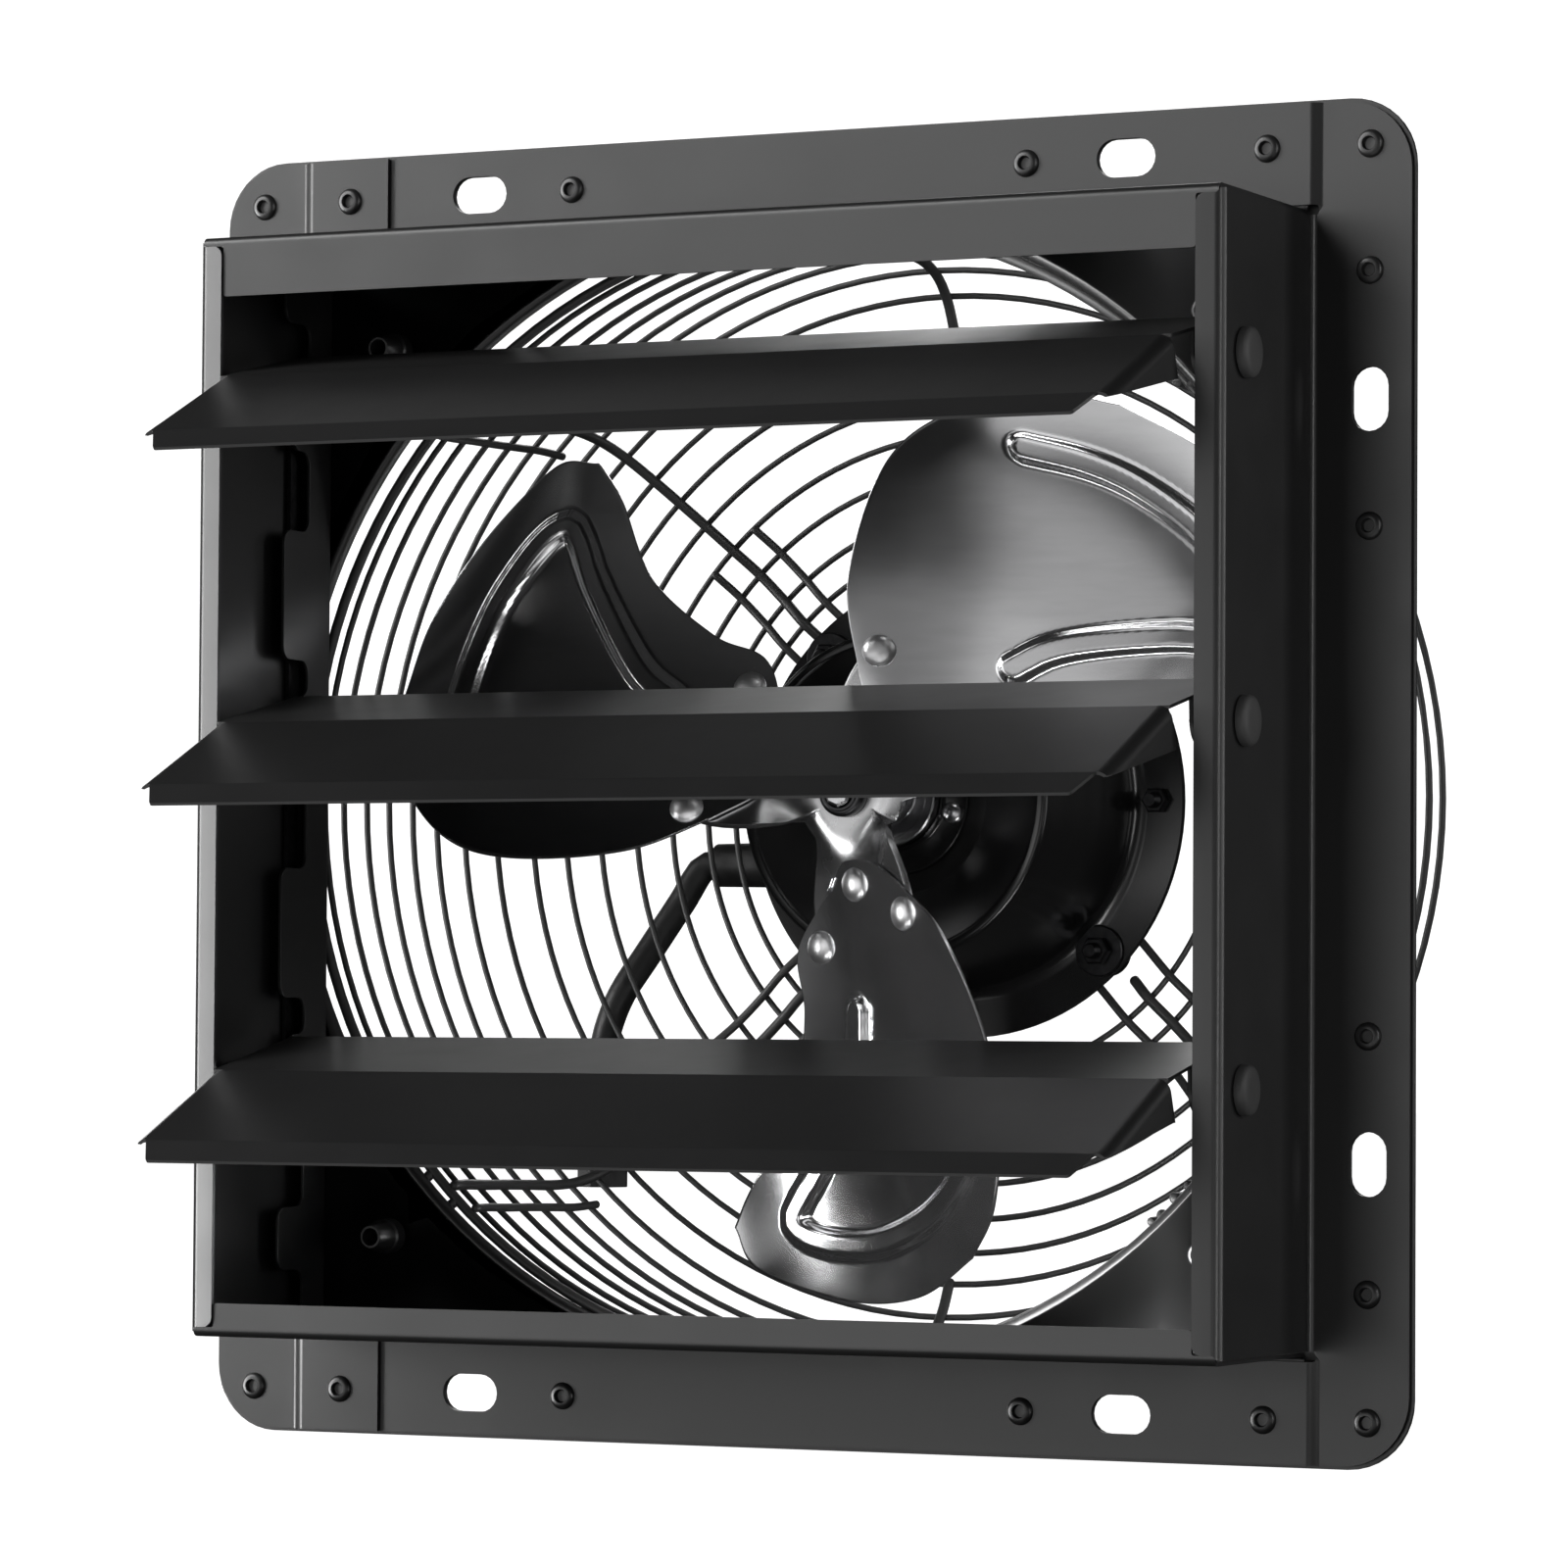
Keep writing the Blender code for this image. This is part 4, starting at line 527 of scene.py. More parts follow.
def rearPlate(b):
    # flat plate round the opening, then the opening's lip: a quarter arc from the plate to the rear
    count = 144
    y = -b["sheet"] / 2
    rim = b["orifice"] + b["lip"]
    edge = b["back"]
    loops = [softened([(-edge, -edge), (edge, -edge), (edge, edge), (-edge, edge)], b["corner"], 10, closed=True),
             ringLoop(rim, count)]
    loops += [slotLoop((x * b["slotLine"], z * b["sideSlots"]), *b["slot"], upright=True)
              for x in (-1, 1) for z in (-1, 1)]
    loops += [slotLoop((x * b["topSlots"], z * b["slotLine"]), *b["slot"]) for x in (-1, 1) for z in (-1, 1)]
    flat, faces = flatPattern(loops)
    turn = np.linspace(0, math.pi / 2, 7)
    arc = [(rim - b["lip"] * math.sin(t), y + b["lip"] * (1 - math.cos(t))) for t in turn]
    return [(np.stack([flat[:, 0], np.full(len(flat), y), flat[:, 1]], -1), faces), lathe(arc, count)]


def sheetPiece(node, shapes, thickness, edge=0.00022, body="root", name=None):
    piece(name or f"{node}_sheet", shapes, blackPaint, [node], body, thickness=thickness, edge=edge, flat=True)


right = sidePanel(box)
sheetPiece("side_panel_right", [right], box["sheet"])
sheetPiece("side_panel_left", [flipped(right)], box["sheet"])
sheetPiece("top_channel", [channel(box, 1, box["topLip"])], box["sheet"])
sheetPiece("bottom_channel", [channel(box, -1, box["bottomLip"])], box["sheet"])
sheetPiece("rear_panel", rearPlate(box), box["sheet"], name="rear_plate_sheet")
print("wall box folded")


# blind rivets on the flange: domed ring round a sunk stem
rivetSet = dict(radius=0.0041, height=0.0016, eye=0.0019, sunk=0.0002, seat=0.0004, front=-0.0027, tabFront=-0.0042,
                flangeAt=[(0.1824, 0.1461), (0.1824, 0.0728), (0.0751, 0.1824), (0.1824, 0.1824)],
                tabAt=[(0.1513, 0.1824)])


def rivet(r, x, z, y):
    # rim: radius inner + (radius - inner) sin t, height h cos t above the sheet
    inner, top, s, seat = r["eye"] + r["seat"], y - r["height"], r["sunk"], y + r["seat"]
    turn = np.linspace(math.pi * 0.08, math.pi / 2, 7)
    rim = [(inner + (r["radius"] - inner) * math.sin(t), y - r["height"] * math.cos(t)) for t in turn]
    eye = [(0, y + s), (r["eye"] - s, y + s / 2), (r["eye"], top + 1.5 * s), (r["eye"] + s, top)]
    return lathe(eye + rim + [(r["radius"], seat), (0, seat)], 28, (x, 0, z))


shapes = []
for group, y in (("flangeAt", rivetSet["front"]), ("tabAt", rivetSet["tabFront"])):
    for x, z in rivetSet[group]:
        shapes += [rivet(rivetSet, sx * x, sz * z, y) for sx in (-1, 1) for sz in (-1, 1)]
piece("flange_rivets", shapes, blackPaint, smooth=50)
print("flange riveted")


# notched strips inside the box
strip = dict(inside=0.1585, half=0.1600, sheet=0.0010, tab=-0.0307, step=-0.0255, recess=-0.0157,
             above=0.0250, below=0.0385, stepHalf=0.0140, lowTab=0.0193,
             back=-0.0020, foot=0.1630, corner=0.0040, bend=0.0012)
pivotHeights = dict(top=0.118, middle=0.015, bottom=-0.088)


def stripWeb(s):
    # web and foot: depth behind the strip's front runs along the fold, z along the bend
    edge = [(0, s["half"]), (s["tab"], s["half"])]
    for z in pivotHeights.values():
        upper, lower, high, low = z + s["above"], z - s["below"], z + s["stepHalf"], z - s["stepHalf"]
        edge += [(s["tab"], upper), (s["recess"], upper), (s["recess"], high), (s["step"], high),
                 (s["step"], low), (s["recess"], low), (s["recess"], lower), (s["tab"], lower)]
    end = lower - s["lowTab"]
    edge += [(s["tab"], end), (s["recess"], end), (s["recess"], -s["half"]), (0, -s["half"])]
    loop = softened(edge, [0] + [s["corner"]] * (len(edge) - 3) + [s["corner"], 0], 6, closed=True)
    fold = Fold([(s["inside"], s["tab"]), (s["inside"], s["back"]), (s["foot"], s["back"])], s["bend"])
    flatEnd = fold.lengths[-1]
    loop[:, 0] = np.where(loop[:, 0] >= -1e-9, flatEnd, loop[:, 0] - s["tab"])
    flat, faces = flatPattern([loop], fold.bends(-s["half"], s["half"]))
    place = fold.at(flat[:, 0])
    return np.stack([place[:, 0], place[:, 1], flat[:, 1]], -1), faces


web = stripWeb(strip)
sheetPiece("inner_strip_right", [web], strip["sheet"])
sheetPiece("inner_strip_left", [flipped(web)], strip["sheet"])
print("strips cut")


# louvres, from the pivot: rear edge, bend, front fold and lip end
louvreSet = dict(half=0.1524, sheet=0.0010, pivotY=-0.0553, rear=(0.02253, 0.0128), bend=(-0.0244, 0.0027),
                 fold=(-0.06781, -0.01731), lip=(-0.07502, -0.02302), bendRadius=0.0016, lipInset=0.0080,
                 flangeDepth=0.0125, flangeTip=0.0010, flangeBend=0.0034, ear=0.0070, earAt=0.0244, earHole=0.0028,
                 edge=0.0002, cut=0.0004, corner=0.0012)


def louvre(v, z):
    # sheet from rear to lip, flat but for its bends: distance from the rear edge runs along the fold
    fold = Fold([v["rear"], v["bend"], v["fold"], v["lip"]], v["bendRadius"])
    end, half, cut, corner = fold.lengths[-1], v["half"], v["cut"], v["corner"]
    bendAt = math.dist(v["rear"], v["bend"])
    startAt, tipAt = bendAt - cut, bendAt + math.dist(v["bend"], v["fold"]) - cut / 2
    inner = half - v["flangeBend"]
    side = [(0, half), (startAt, half), (startAt, inner), (tipAt, inner), (tipAt + 2 * cut, inner - corner / 2),
            (end, half - v["lipInset"])]
    outline = side + [(s, -t) for s, t in side[::-1]]
    rows = np.linspace(startAt, tipAt, 40)
    radii = [corner, cut, 0, 0, corner / 2, corner]
    loop = softened(outline, radii + radii[::-1], 4, closed=True)
    lines = fold.bends(-half, half)
    lines += [((a, sign * inner), (b, sign * inner)) for a, b in zip(rows, rows[1:]) for sign in (-1, 1)]
    flat, faces = flatPattern([loop], lines)
    place = fold.at(flat[:, 0])
    shapes = [(np.stack([flat[:, 1], place[:, 0] + v["pivotY"], place[:, 1] + z], -1), faces)]
    # end flange: an arc down from the face's edge, then straight down, deepest at the louvre's bend
    at = fold.at(rows)
    down = squareTo(at)
    down *= np.sign(-down[:, 1:2])
    depth = np.interp(rows, [startAt, bendAt, tipAt], [v["flangeDepth"], v["flangeDepth"], v["flangeTip"]])
    # the arc turns by arccos(1 - depth / radius) where the flange is shallower than its bend
    turn = np.arccos(np.clip(1 - depth / v["flangeBend"], 0, 1))[:, None] * np.linspace(0, 1, 6)
    out = v["flangeBend"] * np.sin(turn)
    drop = np.concatenate([v["flangeBend"] * (1 - np.cos(turn)), depth[:, None] + 0.00002], axis=1)
    yz = at[:, None] + down[:, None] * drop[..., None]
    x = inner + np.concatenate([out, out[:, -1:]], axis=1)
    flange = np.stack([x, yz[..., 0] + v["pivotY"], yz[..., 1] + z], -1)
    shapes.append((flange, gridFaces(*flange.shape[:2])))
    shapes.append(flipped(shapes[-1]))
    return shapes


def louvreEar(v, z, side):
    # round ear on the pivot under the rear strip
    turn = np.radians(np.linspace(180, 360, 17))
    direction = np.subtract(v["rear"], v["bend"]) / math.dist(v["rear"], v["bend"])
    top = [tuple(np.add(v["bend"], direction * (v["earAt"] + k))) for k in (v["ear"], -v["ear"])]
    loop = np.array(top + [(v["ear"] * math.cos(t), v["ear"] * math.sin(t)) for t in turn])
    flat, faces = flatPattern([loop, ringLoop(v["earHole"], 20)])
    x = np.full(len(flat), side * (v["half"] - v["sheet"] / 2))
    return np.stack([x, flat[:, 0] + v["pivotY"], flat[:, 1] + z], -1), faces


for name, height in pivotHeights.items():
    body = {"top": "upper_louvre", "middle": "centre_louvre", "bottom": "lower_louvre"}[name]
    shapes = louvre(louvreSet, height) + [louvreEar(louvreSet, height, side) for side in (-1, 1)]
    sheetPiece(f"louvre_{name}", shapes, louvreSet["sheet"], louvreSet["edge"], body)
print("louvres folded")


# pivot bushes: domed cap outside the wall, plug with a blind bore inside
bush = dict(wall=0.1648, gap=0.0003, cap=0.00725, thick=0.0030, plug=0.00445, inside=0.1612, bore=0.0028,
            boreEnd=0.0009)
b = bush
seat = b["wall"] + b["gap"]
top, end = seat + b["thick"], seat + b["thick"] - b["boreEnd"]
profile = [(0, top + 0.0002), (b["cap"] * 0.5, top + 0.00012), (b["cap"] - 0.0013, top - 0.0001),
           (b["cap"] - 0.0004, top - 0.0005), (b["cap"], top - 0.0012), (b["cap"], seat), (b["plug"], seat),
           (b["plug"], b["inside"]), (b["bore"], b["inside"]), (b["bore"], end), (0, end)]
for name, height in pivotHeights.items():
    shape = lathe(profile, 48, (0, louvreSet["pivotY"], height), "X")
    for word, turned in (("right", shape), ("left", flipped(shape))):
        piece(f"bush_{name}_{word}", [turned], capPlastic, [f"pivot_bush_{name}_{word}"], smooth=40)
print("bushes set")


# wire guard
guard = dict(wire=0.0010, spoke=0.00165, rim=0.1700, rimY=0.0050, boltAt=0.1355, centre=(0.0016, -0.0014),
             rings=[(0.1698, 0.0133), (0.1703, 0.0261), (0.1706, 0.0413), (0.1711, 0.0565), (0.1716, 0.0728),
                    (0.1707, 0.0871), (0.1668, 0.0985), (0.1596, 0.1068), (0.1495, 0.1128), (0.1399, 0.1173),
                    (0.1295, 0.1216), (0.1185, 0.1258), (0.1075, 0.1298), (0.0949, 0.1305), (0.0845, 0.1293)],
             clampRings=[(0.0700, 0.1276), (0.0620, 0.1276)], spokeEnd=(0.0765, 0.1292), side=0.00132,
             sideOffset=0.0100, sideEnds=[(0.070, 0.1296), (0.0585, 0.1296)], eye=0.0047, eyeY=0.00195,
             eyeNeck=0.0060, weld=0.0003)
corners = (45, 135, 225, 315)


def ringWire(radius, y, wire):
    # torus: circle of the wire's radius carried round the fan's axis
    loop = ringLoop(radius, 120)
    return tube(np.insert(loop, 1, y, axis=1), wire, 8, closed=True)


def alongSpoke(profile, angle, offset, wire, count=40):
    # profile (radius, depth) at an angle, moved sideways by the offset
    line = smoothLine(profile, count)
    reach = np.sqrt(np.maximum(line[:, 0] ** 2 - offset ** 2, 0))
    path = turnedAbout(np.stack([reach, line[:, 1], np.full(count, offset)], -1), angle)
    return tube(path, wire, 10, turnedAbout(np.array([0, 0, 1]), angle))


def guardWires(g):
    # basket about the guard's own centre; the clamp rings and eyes stay where the motor and bolts are
    inside = g["wire"] + g["spoke"] - g["weld"]
    rings = np.array(g["rings"])
    spokeLine = list(rings - squareTo(rings) * inside)
    start = [(g["rim"] - inside, g["rimY"])]
    shapes = [ringWire(g["rim"], g["rimY"], g["spoke"])]
    shapes += [ringWire(r, y, g["wire"]) for r, y in g["rings"]]
    for angle in corners:
        shapes.append(alongSpoke(start + spokeLine + [g["spokeEnd"]], angle, 0, g["spoke"], 80))
        for line in (spokeLine[-4:] + g["sideEnds"], start + spokeLine[:6]):
            shapes += [alongSpoke(line, angle, side * g["sideOffset"], g["side"], 30) for side in (-1, 1)]
    shapes += [alongSpoke(start + spokeLine[:9], angle, 0, g["spoke"], 40) for angle in (90, 270)]
    shift = np.array([g["centre"][0], 0, g["centre"][1]])
    shapes = [(points + shift, faces) for points, faces in shapes]
    shapes += [ringWire(r, y, g["wire"]) for r, y in g["clampRings"]]
    return shapes + [guardEye(g, angle) for angle in corners]


def guardEye(g, angle):
    # loop from the rim out round a guard bolt, on the plate's rear face
    bolt = math.sqrt(2) * g["boltAt"]
    turn = np.radians(np.linspace(110, -110, 15))
    arc = [(bolt + g["eye"] * math.cos(t), g["eye"] * math.sin(t)) for t in turn]
    line = smoothLine([(g["rim"], g["eyeNeck"]), *arc, (g["rim"], -g["eyeNeck"])], 40)
    depth = np.interp(np.arange(40), [0, 5, 34, 39], [g["rimY"], g["eyeY"], g["eyeY"], g["rimY"]])
    return tube(turnedAbout(np.insert(line, 1, depth, axis=1), angle), g["spoke"], 10)


piece("wire_guard_basket", guardWires(guard), guardCoat, ["wire_guard"], smooth=60)
print("guard welded")


# motor: pressed front and rear shells
motor = dict(sheet=0.0012, wall=0.0574, rim=0.0506, front=0.0698, web=0.0742, webRadius=0.0300, shoulder=0.0478,
             groove=0.0008, flange=0.1240, flangeRadius=0.0740, back=0.1585, boss=0.0085, pocket=0.0149, gap=0.0003,
             pocketDepth=0.0080, frontBends=[0, 0.0016, 0.0040, 0.0006, 0.0004, 0.0016, 0.0060, 0],
             rearBends=[0, 0.0020, 0.0020, 0.0060, 0.0016, 0])


def shell(path, bends, sheet):
    # closed section of a pressed wall: half the sheet to each side of the path, turned about the axis
    line = softened(path, bends, 6)
    side = squareTo(line) * sheet / 2
    closed = np.vstack([line - side, (line + side)[::-1]])
    closed[:, 0] = np.maximum(closed[:, 0], 0)
    return closed


m = motor
frontPath = [(m["pocket"], m["web"] + m["pocketDepth"]), (m["pocket"], m["web"]), (m["webRadius"], m["web"]),
             (m["shoulder"], m["front"] + m["groove"]), (m["shoulder"] + m["groove"], m["front"]),
             (m["rim"], m["front"]), (m["wall"], m["flange"]), (m["flangeRadius"], m["flange"])]
rearFlange = m["flange"] + m["sheet"] + m["gap"]
rearPath = [(0.0002, m["back"] + m["boss"]), (m["pocket"], m["back"] + m["boss"]), (m["pocket"], m["back"]),
            (m["wall"], m["back"]), (m["wall"], rearFlange), (m["flangeRadius"], rearFlange)]
piece("motor_front_pressing", [lathe(shell(frontPath, m["frontBends"], m["sheet"]), 128)], motorPaint,
      ["motor_front_shell"], smooth=50)
piece("motor_rear_pressing", [lathe(shell(rearPath, m["rearBends"], m["sheet"]), 96)], motorPaint,
      ["motor_rear_shell"], smooth=50)
print("motor pressed")


# small parts: bearing, its retainer, stator, screws, clamps, bolts and nuts
small = dict(retainer=0.0240, hole=0.0156, retainerAt=0.0730, retainerSheet=0.0010, stator=(0.0296, 0.0500),
             statorAt=(0.0836, 0.1196), screwAt=0.0198, screw=0.0034, clampAt=0.0660, stud=0.0025, thread=0.0002,
             washer=0.0079, washerSheet=0.0012, nut=0.0046, nutHeight=0.0040, gap=0.00005, flangeFace=0.1231,
             ringsBack=0.1289, proud=0.0035, throughNut=0.0042, throughHeight=0.0038, throughProud=0.0037,
             throughHead=(0.0036, 0.1262, 0.1282), sleeve=(0.0053, 0.0038), sleeveBase=0.0050, sleeveCut=0.0006,
             sleeveLength=0.0125, sleeveEye=0.0027, plateFace=-0.0015, boltEnd=0.0050, eyeBack=0.0039,
             head=0.0052, headHeight=0.0035)


def cutRing(radius, low, high, bore, x, z, sides, inset, cut):
    # ring about y, its outer corners cut at both ends
    profile = [(bore, low), (radius - inset, low), (radius, low + cut), (radius, high - cut),
               (radius - inset, high), (bore, high)]
    return lathe(profile, sides, (x, 0, z))


def hexNut(radius, low, high, bore, x, z):
    return cutRing(radius, low, high, bore, x, z, 6, radius * 0.14, (high - low) * 0.16)


def roundWasher(radius, low, high, bore, x, z):
    return cutRing(radius, low, high, bore, x, z, 40, 0.0003, 0.0003)


def threadedEnd(radius, low, high, x, z, pitch=0.0008):
    # bolt's end: the radius falls by a tenth between the crests of the thread
    steps = np.arange(low + pitch, high, pitch / 2)
    crests = np.where(np.arange(len(steps)) % 2, radius, radius * 0.9)
    return lathe([(0, low), (radius * 0.75, low), *zip(crests, steps), (radius, high), (0, high)], 20, (x, 0, z))


c = small
for name, angle in zip(("upper_right", "upper_left", "lower_left", "lower_right"), corners):
    x, z = around(c["clampAt"], angle)
    front, back = c["flangeFace"], c["ringsBack"]
    seat, end = front - c["washerSheet"], back + c["washerSheet"]
    shapes = [roundWasher(c["washer"], seat, front, c["stud"], x, z),
              hexNut(c["nut"], seat - c["nutHeight"], seat - c["gap"], c["stud"] - c["thread"], x, z),
              threadedEnd(c["stud"], seat - c["nutHeight"] - c["proud"], end, x, z),
              roundWasher(c["washer"], back, end, c["stud"], x, z),
              hexNut(c["nut"], end + c["gap"], end + c["nutHeight"], 0, x, z)]
    piece(f"clamp_{name}_hardware", shapes, darkSteel, [f"guard_clamp_{name}"], smooth=35)
    x, z = around(math.sqrt(2) * guard["boltAt"], angle)
    seat, (base, tip), cut = c["plateFace"], c["sleeve"], c["sleeveCut"]
    step, end = seat - c["sleeveBase"], seat - c["sleeveLength"]
    sleeve = [(c["sleeveEye"], seat), (base, seat), (base, step + cut), (base - cut, step), (tip, end + cut),
              (tip - 0.0005, end), (c["sleeveEye"], end)]
    piece(f"sleeve_nut_{name}", [lathe(sleeve, 36, (x, 0, z))], blackPaint, [f"guard_nut_{name}"], smooth=35)
    shapes = [threadedEnd(c["stud"], seat - c["boltEnd"], c["eyeBack"] + c["thread"], x, z),
              hexNut(c["head"], c["eyeBack"], c["eyeBack"] + c["headHeight"], 0, x, z)]
    piece(f"guard_bolt_{name}_hex", shapes, darkSteel, [f"guard_bolt_{name}"], smooth=35)

shapes = []
for angle in (0, 90, 180, 270):
    x, z = around(c["clampAt"], angle)
    face, seat = c["flangeFace"], c["flangeFace"] - c["throughHeight"]
    shapes += [hexNut(c["throughNut"], seat, face, c["stud"] - c["thread"], x, z),
               threadedEnd(c["stud"], seat - c["throughProud"], face, x, z), roundWasher(*c["throughHead"], 0, x, z)]
piece("motor_through_bolts", shapes, darkSteel, smooth=35)

edge, face = c["retainerAt"], c["retainerAt"] - c["retainerSheet"]
disc = [(c["hole"], edge), (c["hole"], face - 0.0012), (c["hole"] + 0.0006, face - 0.0014),
        (c["hole"] + 0.0012, face - 0.0004), (c["hole"] + 0.0018, face), (c["retainer"] - 0.0003, face),
        (c["retainer"], face + 0.0003), (c["retainer"], edge)]
piece("retainer_disc", [lathe(disc, 72)], motorPaint, ["bearing_retainer"], smooth=35)
shapes = []
for angle in (-15, 105, 225):
    x, z = around(c["screwAt"], angle)
    r = c["screw"]
    head = [(0, face - 0.0013), (0.0007, face - 0.0013), (0.0009, face - 0.0020), (r * 0.6, face - 0.0018),
            (r * 0.88, face - 0.0013), (r, face - 0.0007), (r, face + 0.0002), (0, face + 0.0002)]
    shapes.append(lathe(head, 28, (x, 0, z)))
piece("retainer_screws", shapes, plateSteel, smooth=40)
rings = [(0.0061, 0.0740), (0.0061, 0.0668), (0.0064, 0.0665), (0.0083, 0.0665), (0.0085, 0.0668), (0.0086, 0.0676),
         (0.0120, 0.0672), (0.0123, 0.0668), (0.0126, 0.0664), (0.0149, 0.0664), (0.0153, 0.0668), (0.0153, 0.0740)]
piece("front_bearing_rings", [lathe(rings, 72)], plateSteel, ["front_bearing"], smooth=30)
low, high = c["statorAt"]
core = [(c["stator"][0], low), (c["stator"][1], low), (c["stator"][1], high), (c["stator"][0], high)]
piece("stator_core", [lathe(core)], darkSteel, ["stator"], smooth=35)
nut = [(0.0043, 0.0352), (0.0043, 0.0312), (0.0050, 0.0303), (0.0056, 0.0303), (0.0059, 0.0310), (0.0066, 0.0312),
       (0.0073, 0.0320), (0.0075, 0.0330), (0.0075, 0.0352)]
piece("shaft_nut_ring", [lathe(nut, 48)], darkSteel, ["shaft_nut"], "fan", smooth=35)
print("small parts turned")


# fan blades: edges as (radial, across) in tip radii, rib and rivets in metres
blade = dict(tip=0.154, sheet=0.0010, middle=0.0404, middleRadius=0.0900, unit=0.0500, rise=0.0045,
             pitch=0.0206, cup=0.0104, twist=0.0049, ribHeight=0.0026, ribHalf=0.0052, ribTop=0.0024,
             root=[(0.188, -0.038), (0.137, 0.000), (0.140, 0.080), (0.178, 0.156)],
             trailing=[(0.188, -0.038), (0.308, -0.130), (0.437, -0.117), (0.629, -0.146), (0.779, -0.247),
                       (0.860, -0.285)],
             tipEdge=[(0.860, -0.285), (0.945, -0.230), (1.000, -0.031), (0.988, 0.156), (0.905, 0.320)],
             leading=[(0.178, 0.156), (0.278, 0.293), (0.465, 0.416), (0.620, 0.448), (0.800, 0.405),
                      (0.905, 0.320)],
             rib=[(0.066, 0.004), (0.078, 0.003), (0.092, -0.002), (0.112, -0.012), (0.125, -0.021),
                  (0.131, -0.0225), (0.1355, -0.015), (0.137, -0.002), (0.1355, 0.012), (0.129, 0.029),
                  (0.121, 0.041), (0.110, 0.052)],
             rivets=[(0.0280, 0.0046), (0.0370, 0.0268), (0.0468, -0.0107)], head=0.0052, headHeight=0.0030,
             startAngle=-90)


def bladeDepth(b, radial, across):
    # depth = middle - pitch t + rise x - cup t² + twist x t, with x and t in units of 50 mm
    x = (radial - b["middleRadius"]) / b["unit"]
    t = across / b["unit"]
    return b["middle"] - b["pitch"] * t + b["rise"] * x - b["cup"] * t ** 2 + b["twist"] * x * t


def distanceToLine(points, line):
    # least distance from each point to a line of straight runs
    a, b = line[:-1], line[1:]
    run = b - a
    share = np.clip(((points[:, None] - a) * run).sum(-1) / (run ** 2).sum(-1), 0, 1)
    gap = np.linalg.norm(points[:, None] - (a + share[..., None] * run), axis=-1)
    return gap.min(1)


def bladeSheet(b, rows=150, columns=120):
    # Coons patch between the four edges, with the flat-topped rib raised on the face towards the room
    edges = [smoothLine(np.array(b[k]) * b["tip"], n) for k, n in
             (("trailing", rows), ("leading", rows), ("root", columns), ("tipEdge", columns))]
    u, v = np.linspace(0, 1, rows)[:, None, None], np.linspace(0, 1, columns)[None, :, None]
    trailing, leading = edges[0][:, None], edges[1][:, None]
    root, tip = edges[2][None], edges[3][None]
    corners = ((1 - u) * (1 - v) * root[:, :1] + (1 - u) * v * root[:, -1:]
               + u * (1 - v) * tip[:, :1] + u * v * tip[:, -1:])
    flat = (1 - v) * trailing + v * leading + (1 - u) * root + u * tip - corners
    gap = distanceToLine(flat.reshape(-1, 2), smoothLine(b["rib"], 60)).reshape(flat.shape[:2])
    depth = bladeDepth(b, flat[..., 0], flat[..., 1]) - b["ribHeight"] * eased(-gap, -b["ribHalf"], -b["ribTop"])
    return np.stack([flat[..., 0], depth, flat[..., 1]], -1)


def rivetHeads(b):
    # low domes on the blade's face, square to it
    heads = []
    turn = np.linspace(0, math.pi / 2, 8)
    profile = [(b["head"] * math.sin(t), -b["headHeight"] * math.cos(t)) for t in turn]
    profile += [(b["head"], 0.0002), (b["head"] - 0.0004, 0.0004)]
    for radial, across in b["rivets"]:
        near = [bladeDepth(b, radial + dr, across + ds) for dr, ds in ((0, 0), (0.001, 0), (0, 0.001))]
        normal = Vector(((near[1] - near[0]) / 0.001, -1, (near[2] - near[0]) / 0.001)).normalized()
        heads.append(standing([(r, -h) for r, h in profile], 24, (radial, near[0], across), normal))
    return heads


for number in range(3):
    angle = blade["startAngle"] + 120 * number
    grid = turnedAbout(bladeSheet(blade), angle)
    shapes = [(grid, gridFaces(*grid.shape[:2]))]
    piece(f"blade_{number + 1}_pressing", shapes, bladeSteel, [f"fan_blade_{number + 1}"], "fan",
          thickness=blade["sheet"], edge=0.0002, offset=-1, facesRoom=True, smooth=45)
    heads = [(turnedAbout(points, angle), faces) for points, faces in rivetHeads(blade)]
    piece(f"blade_{number + 1}_rivets", heads, satinSteel, body="fan", smooth=50)
print("blades pressed")


# hub spider
spider = dict(front=0.0355, sheet=0.0020, flat=0.0175, rampStart=0.0095, ramp=0.0165, arm=0.0500, turn=11, half=20,
              fall=32, bore=0.0048, clear=0.0019)


def spiderSheet(s, b, sectors=180, rings=24):
    # reach falls from the arm's length to the flat centre by a raised cosine of the angle from the arm
    angles = np.linspace(0, 360, sectors, endpoint=False)
    local = (angles + 60) % 120 - 60
    fall = np.clip((np.abs(local - s["turn"]) - s["half"]) / s["fall"], 0, 1)
    reach = s["flat"] + (s["arm"] - s["flat"]) * (1 + np.cos(math.pi * fall)) / 2
    radius = s["bore"] + (reach[None] - s["bore"]) * np.linspace(0, 1, rings)[:, None]
    turn = np.radians(local)[None]
    onBlade = bladeDepth(b, radius * np.cos(turn), radius * np.sin(turn)) + s["clear"]
    depth = s["front"] + (onBlade - s["front"]) * eased(radius, s["rampStart"], s["rampStart"] + s["ramp"])
    world = np.radians(angles - 90)[None]
    grid = np.stack([radius * np.cos(world), depth, radius * np.sin(world)], -1)
    return grid, gridFaces(rings, sectors, False, True)


piece("hub_spider_pressing", [spiderSheet(spider, blade)], spiderSteel, ["hub_spider"], "fan",
      thickness=spider["sheet"], edge=0.0003, offset=-1, facesRoom=True, smooth=45)
print("hub set")


# studio: pale floor in a white surround
studio = dict(floorZ=-0.1965, radius=9.0, floorShade=0.30, floorGlow=1.0, surround=1.2, ambient=0.027, distance=3.2)
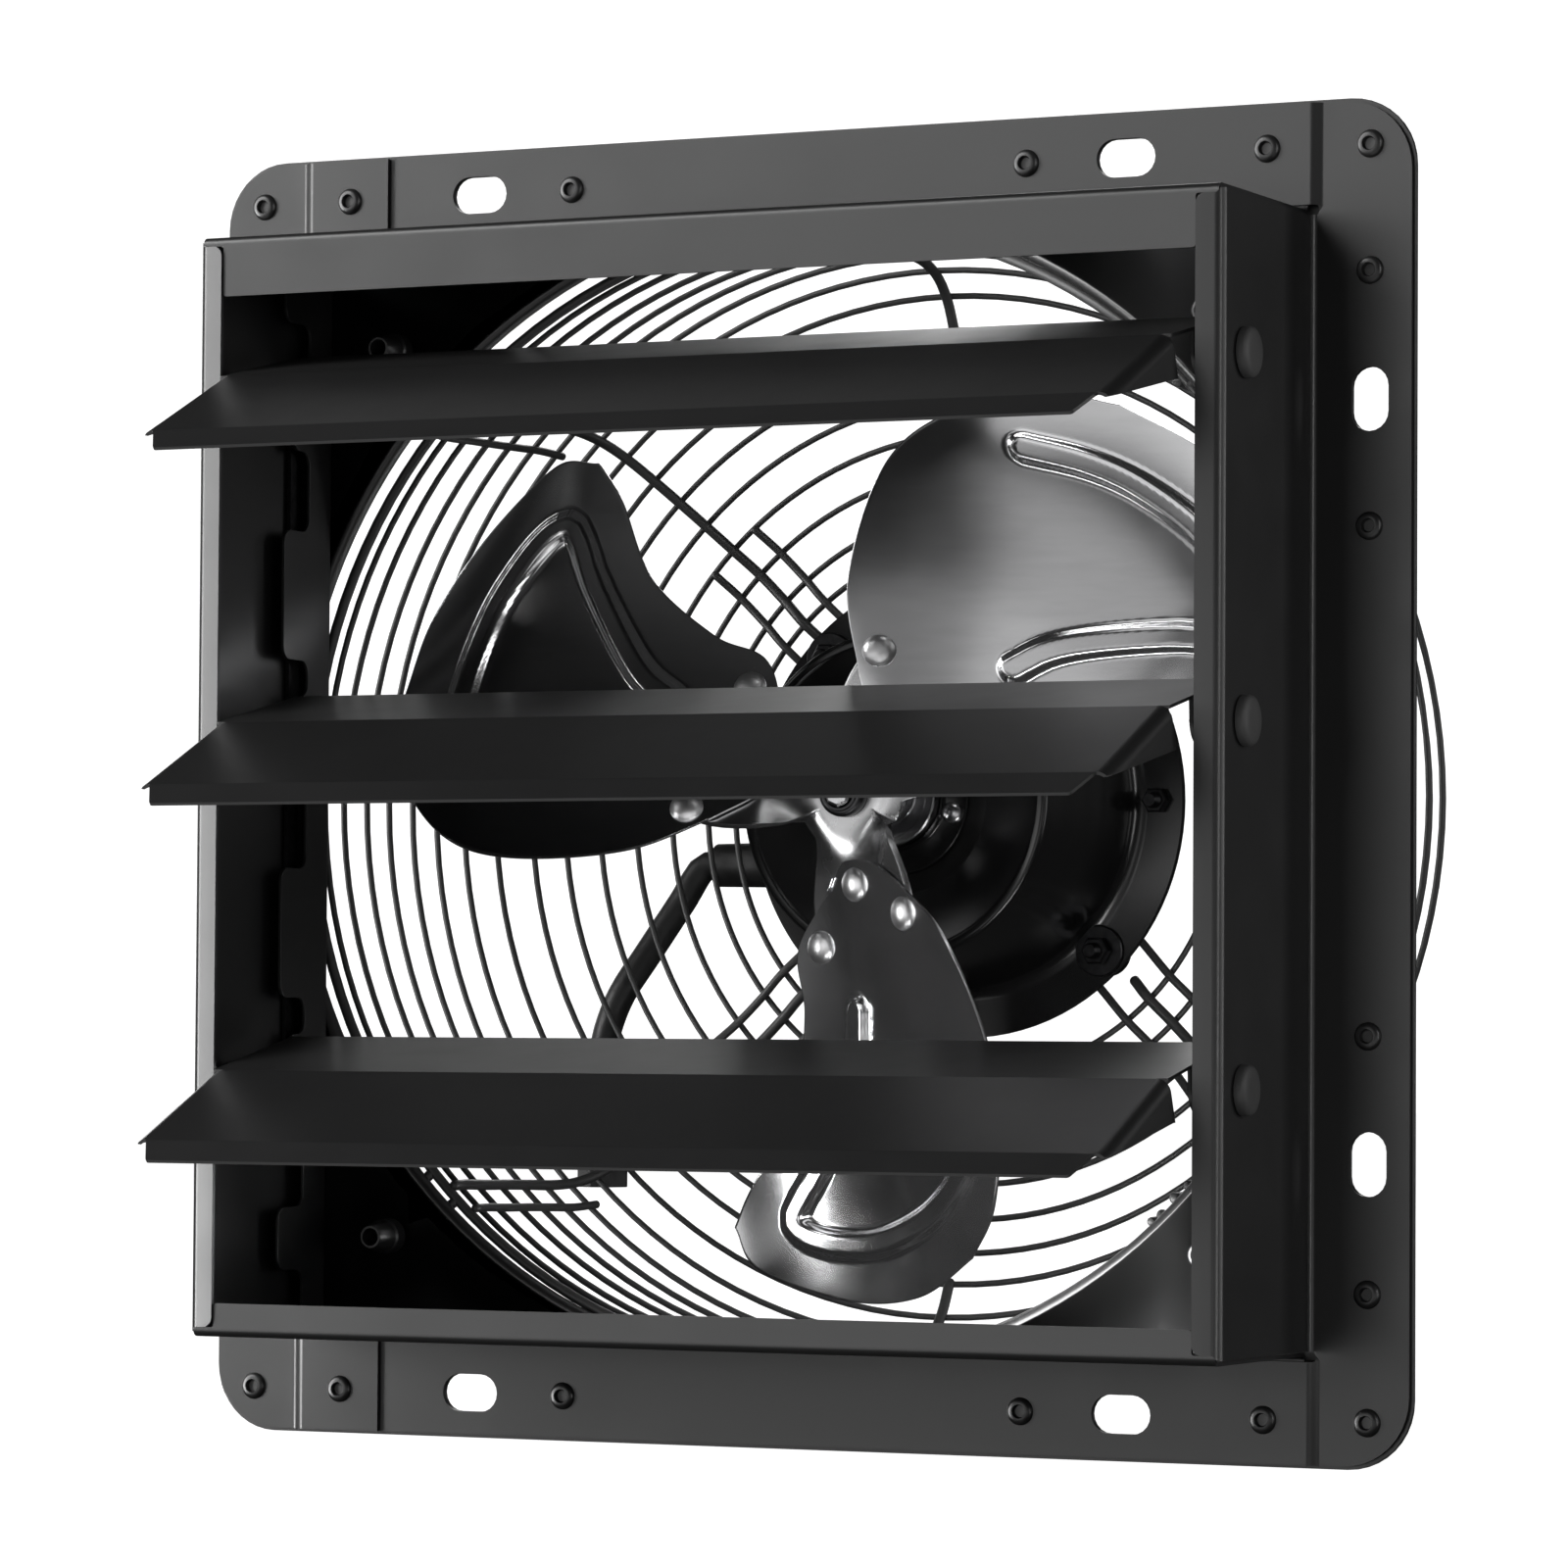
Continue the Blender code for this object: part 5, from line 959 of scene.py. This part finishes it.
# soft panels round the fan: azimuth from the front towards the right, rise, width, height, brightness
panels = {"left_low_panel": (-55, -8, 1.13, 1.13, 15.8), "left_panel": (-55, 12, 1.13, 1.13, 9.46),
          "left_high_panel": (-55, 35, 1.13, 1.13, 3.80), "front_left_high_panel": (-35, 35, 1.13, 1.13, 5.23),
          "front_low_panel": (-15, -8, 1.13, 1.13, 0.94), "front_panel": (-15, 12, 1.13, 1.13, 1.53),
          "front_right_panel": (25, -8, 1.13, 1.13, 0.62), "right_line": (65, 5, 0.35, 2.33, 6.0),
          "right_strip": (100, 5, 0.56, 2.33, 1.54), "back_right_strip": (120, 5, 0.56, 2.33, 2.82),
          "back_left_panel": (-125, 8, 1.13, 0.96, 2.91), "back_panel": (-145, 8, 1.13, 0.96, 1.64),
          "back_high_panel": (-165, 26, 1.13, 0.96, 4.02)}
# panel on the floor and small cards inside the opening: place, direction, width, height, brightness
cards = {"floor_panel": ((0, -0.38, -0.19), (0, 0, 1), 1.2, 0.5, 0.39),
         "upper_card": ((0.125, -0.025, 0.079), (0, 1, 0), 0.070, 0.062, 0.63),
         "middle_card": ((0.080, -0.025, -0.028), (0, 1, 0), 0.080, 0.064, 0.15),
         "left_card": ((-0.005, -0.025, -0.028), (0, 1, 0), 0.080, 0.064, 1.05),
         "top_card": ((0.080, -0.025, 0.151), (0, 1, 0), 0.150, 0.022, 5.0),
         "bottom_card": ((0.080, -0.025, -0.147), (0, 1, 0), 0.150, 0.034, 13.0)}


def softPanel(name, place, ahead, width, height, brightness):
    # an even rectangle of brightness b and area A has the power pi b A
    data = bpy.data.lights.new(name, "AREA")
    data.shape, data.size, data.size_y = "RECTANGLE", width, height
    data.energy = math.pi * brightness * width * height
    light = newObject(name, data)
    light.location = place
    light.rotation_euler = ahead.to_track_quat("-Z", "Y").to_euler()
    light.visible_camera = False


def stagePiece(name, profile, shade, glow):
    # profile of (radius, height) turned about the upright axis
    mesh = cleaned(joined(name, [lathe(profile, 48, axis="Z")]))
    thing = newObject(name, mesh)
    material, _, shader = newMaterial(name)
    setInputs(shader, {"Base Color": (shade, shade, shade, 1), "Roughness": 0.9, "Specular IOR Level": 0.0,
                       "Emission Color": (1, 1, 1, 1), "Emission Strength": glow})
    mesh.materials.append(material)
    thing.visible_diffuse = thing.visible_glossy = False
    return thing


z, radius = studio["floorZ"], studio["radius"]
stagePiece("floor", [(r, z) for r in np.linspace(0, radius, 8)], studio["floorShade"], studio["floorGlow"])
half = [(radius * math.sin(t), z + radius * math.cos(t)) for t in np.linspace(0, math.pi / 2 + 0.02, 16)]
stagePiece("surround", half, 0.0, studio["surround"]).visible_shadow = False
for name, (azimuth, rise, *rest) in panels.items():
    side, up = math.radians(azimuth), math.radians(rise)
    ahead = -Vector((math.cos(up) * math.sin(side), -math.cos(up) * math.cos(side), math.sin(up)))
    softPanel(name, -ahead * studio["distance"], ahead, *rest)
for name, (place, ahead, *rest) in cards.items():
    softPanel(name, place, Vector(ahead), *rest)
world = bpy.data.worlds.new("studio")
bpy.context.scene.world = world
world.use_nodes = True
setInputs(world.node_tree.nodes["Background"], {"Color": (1, 1, 1, 1), "Strength": studio["ambient"]})
bpy.context.scene.view_settings.view_transform = "Standard"
print("studio lit")
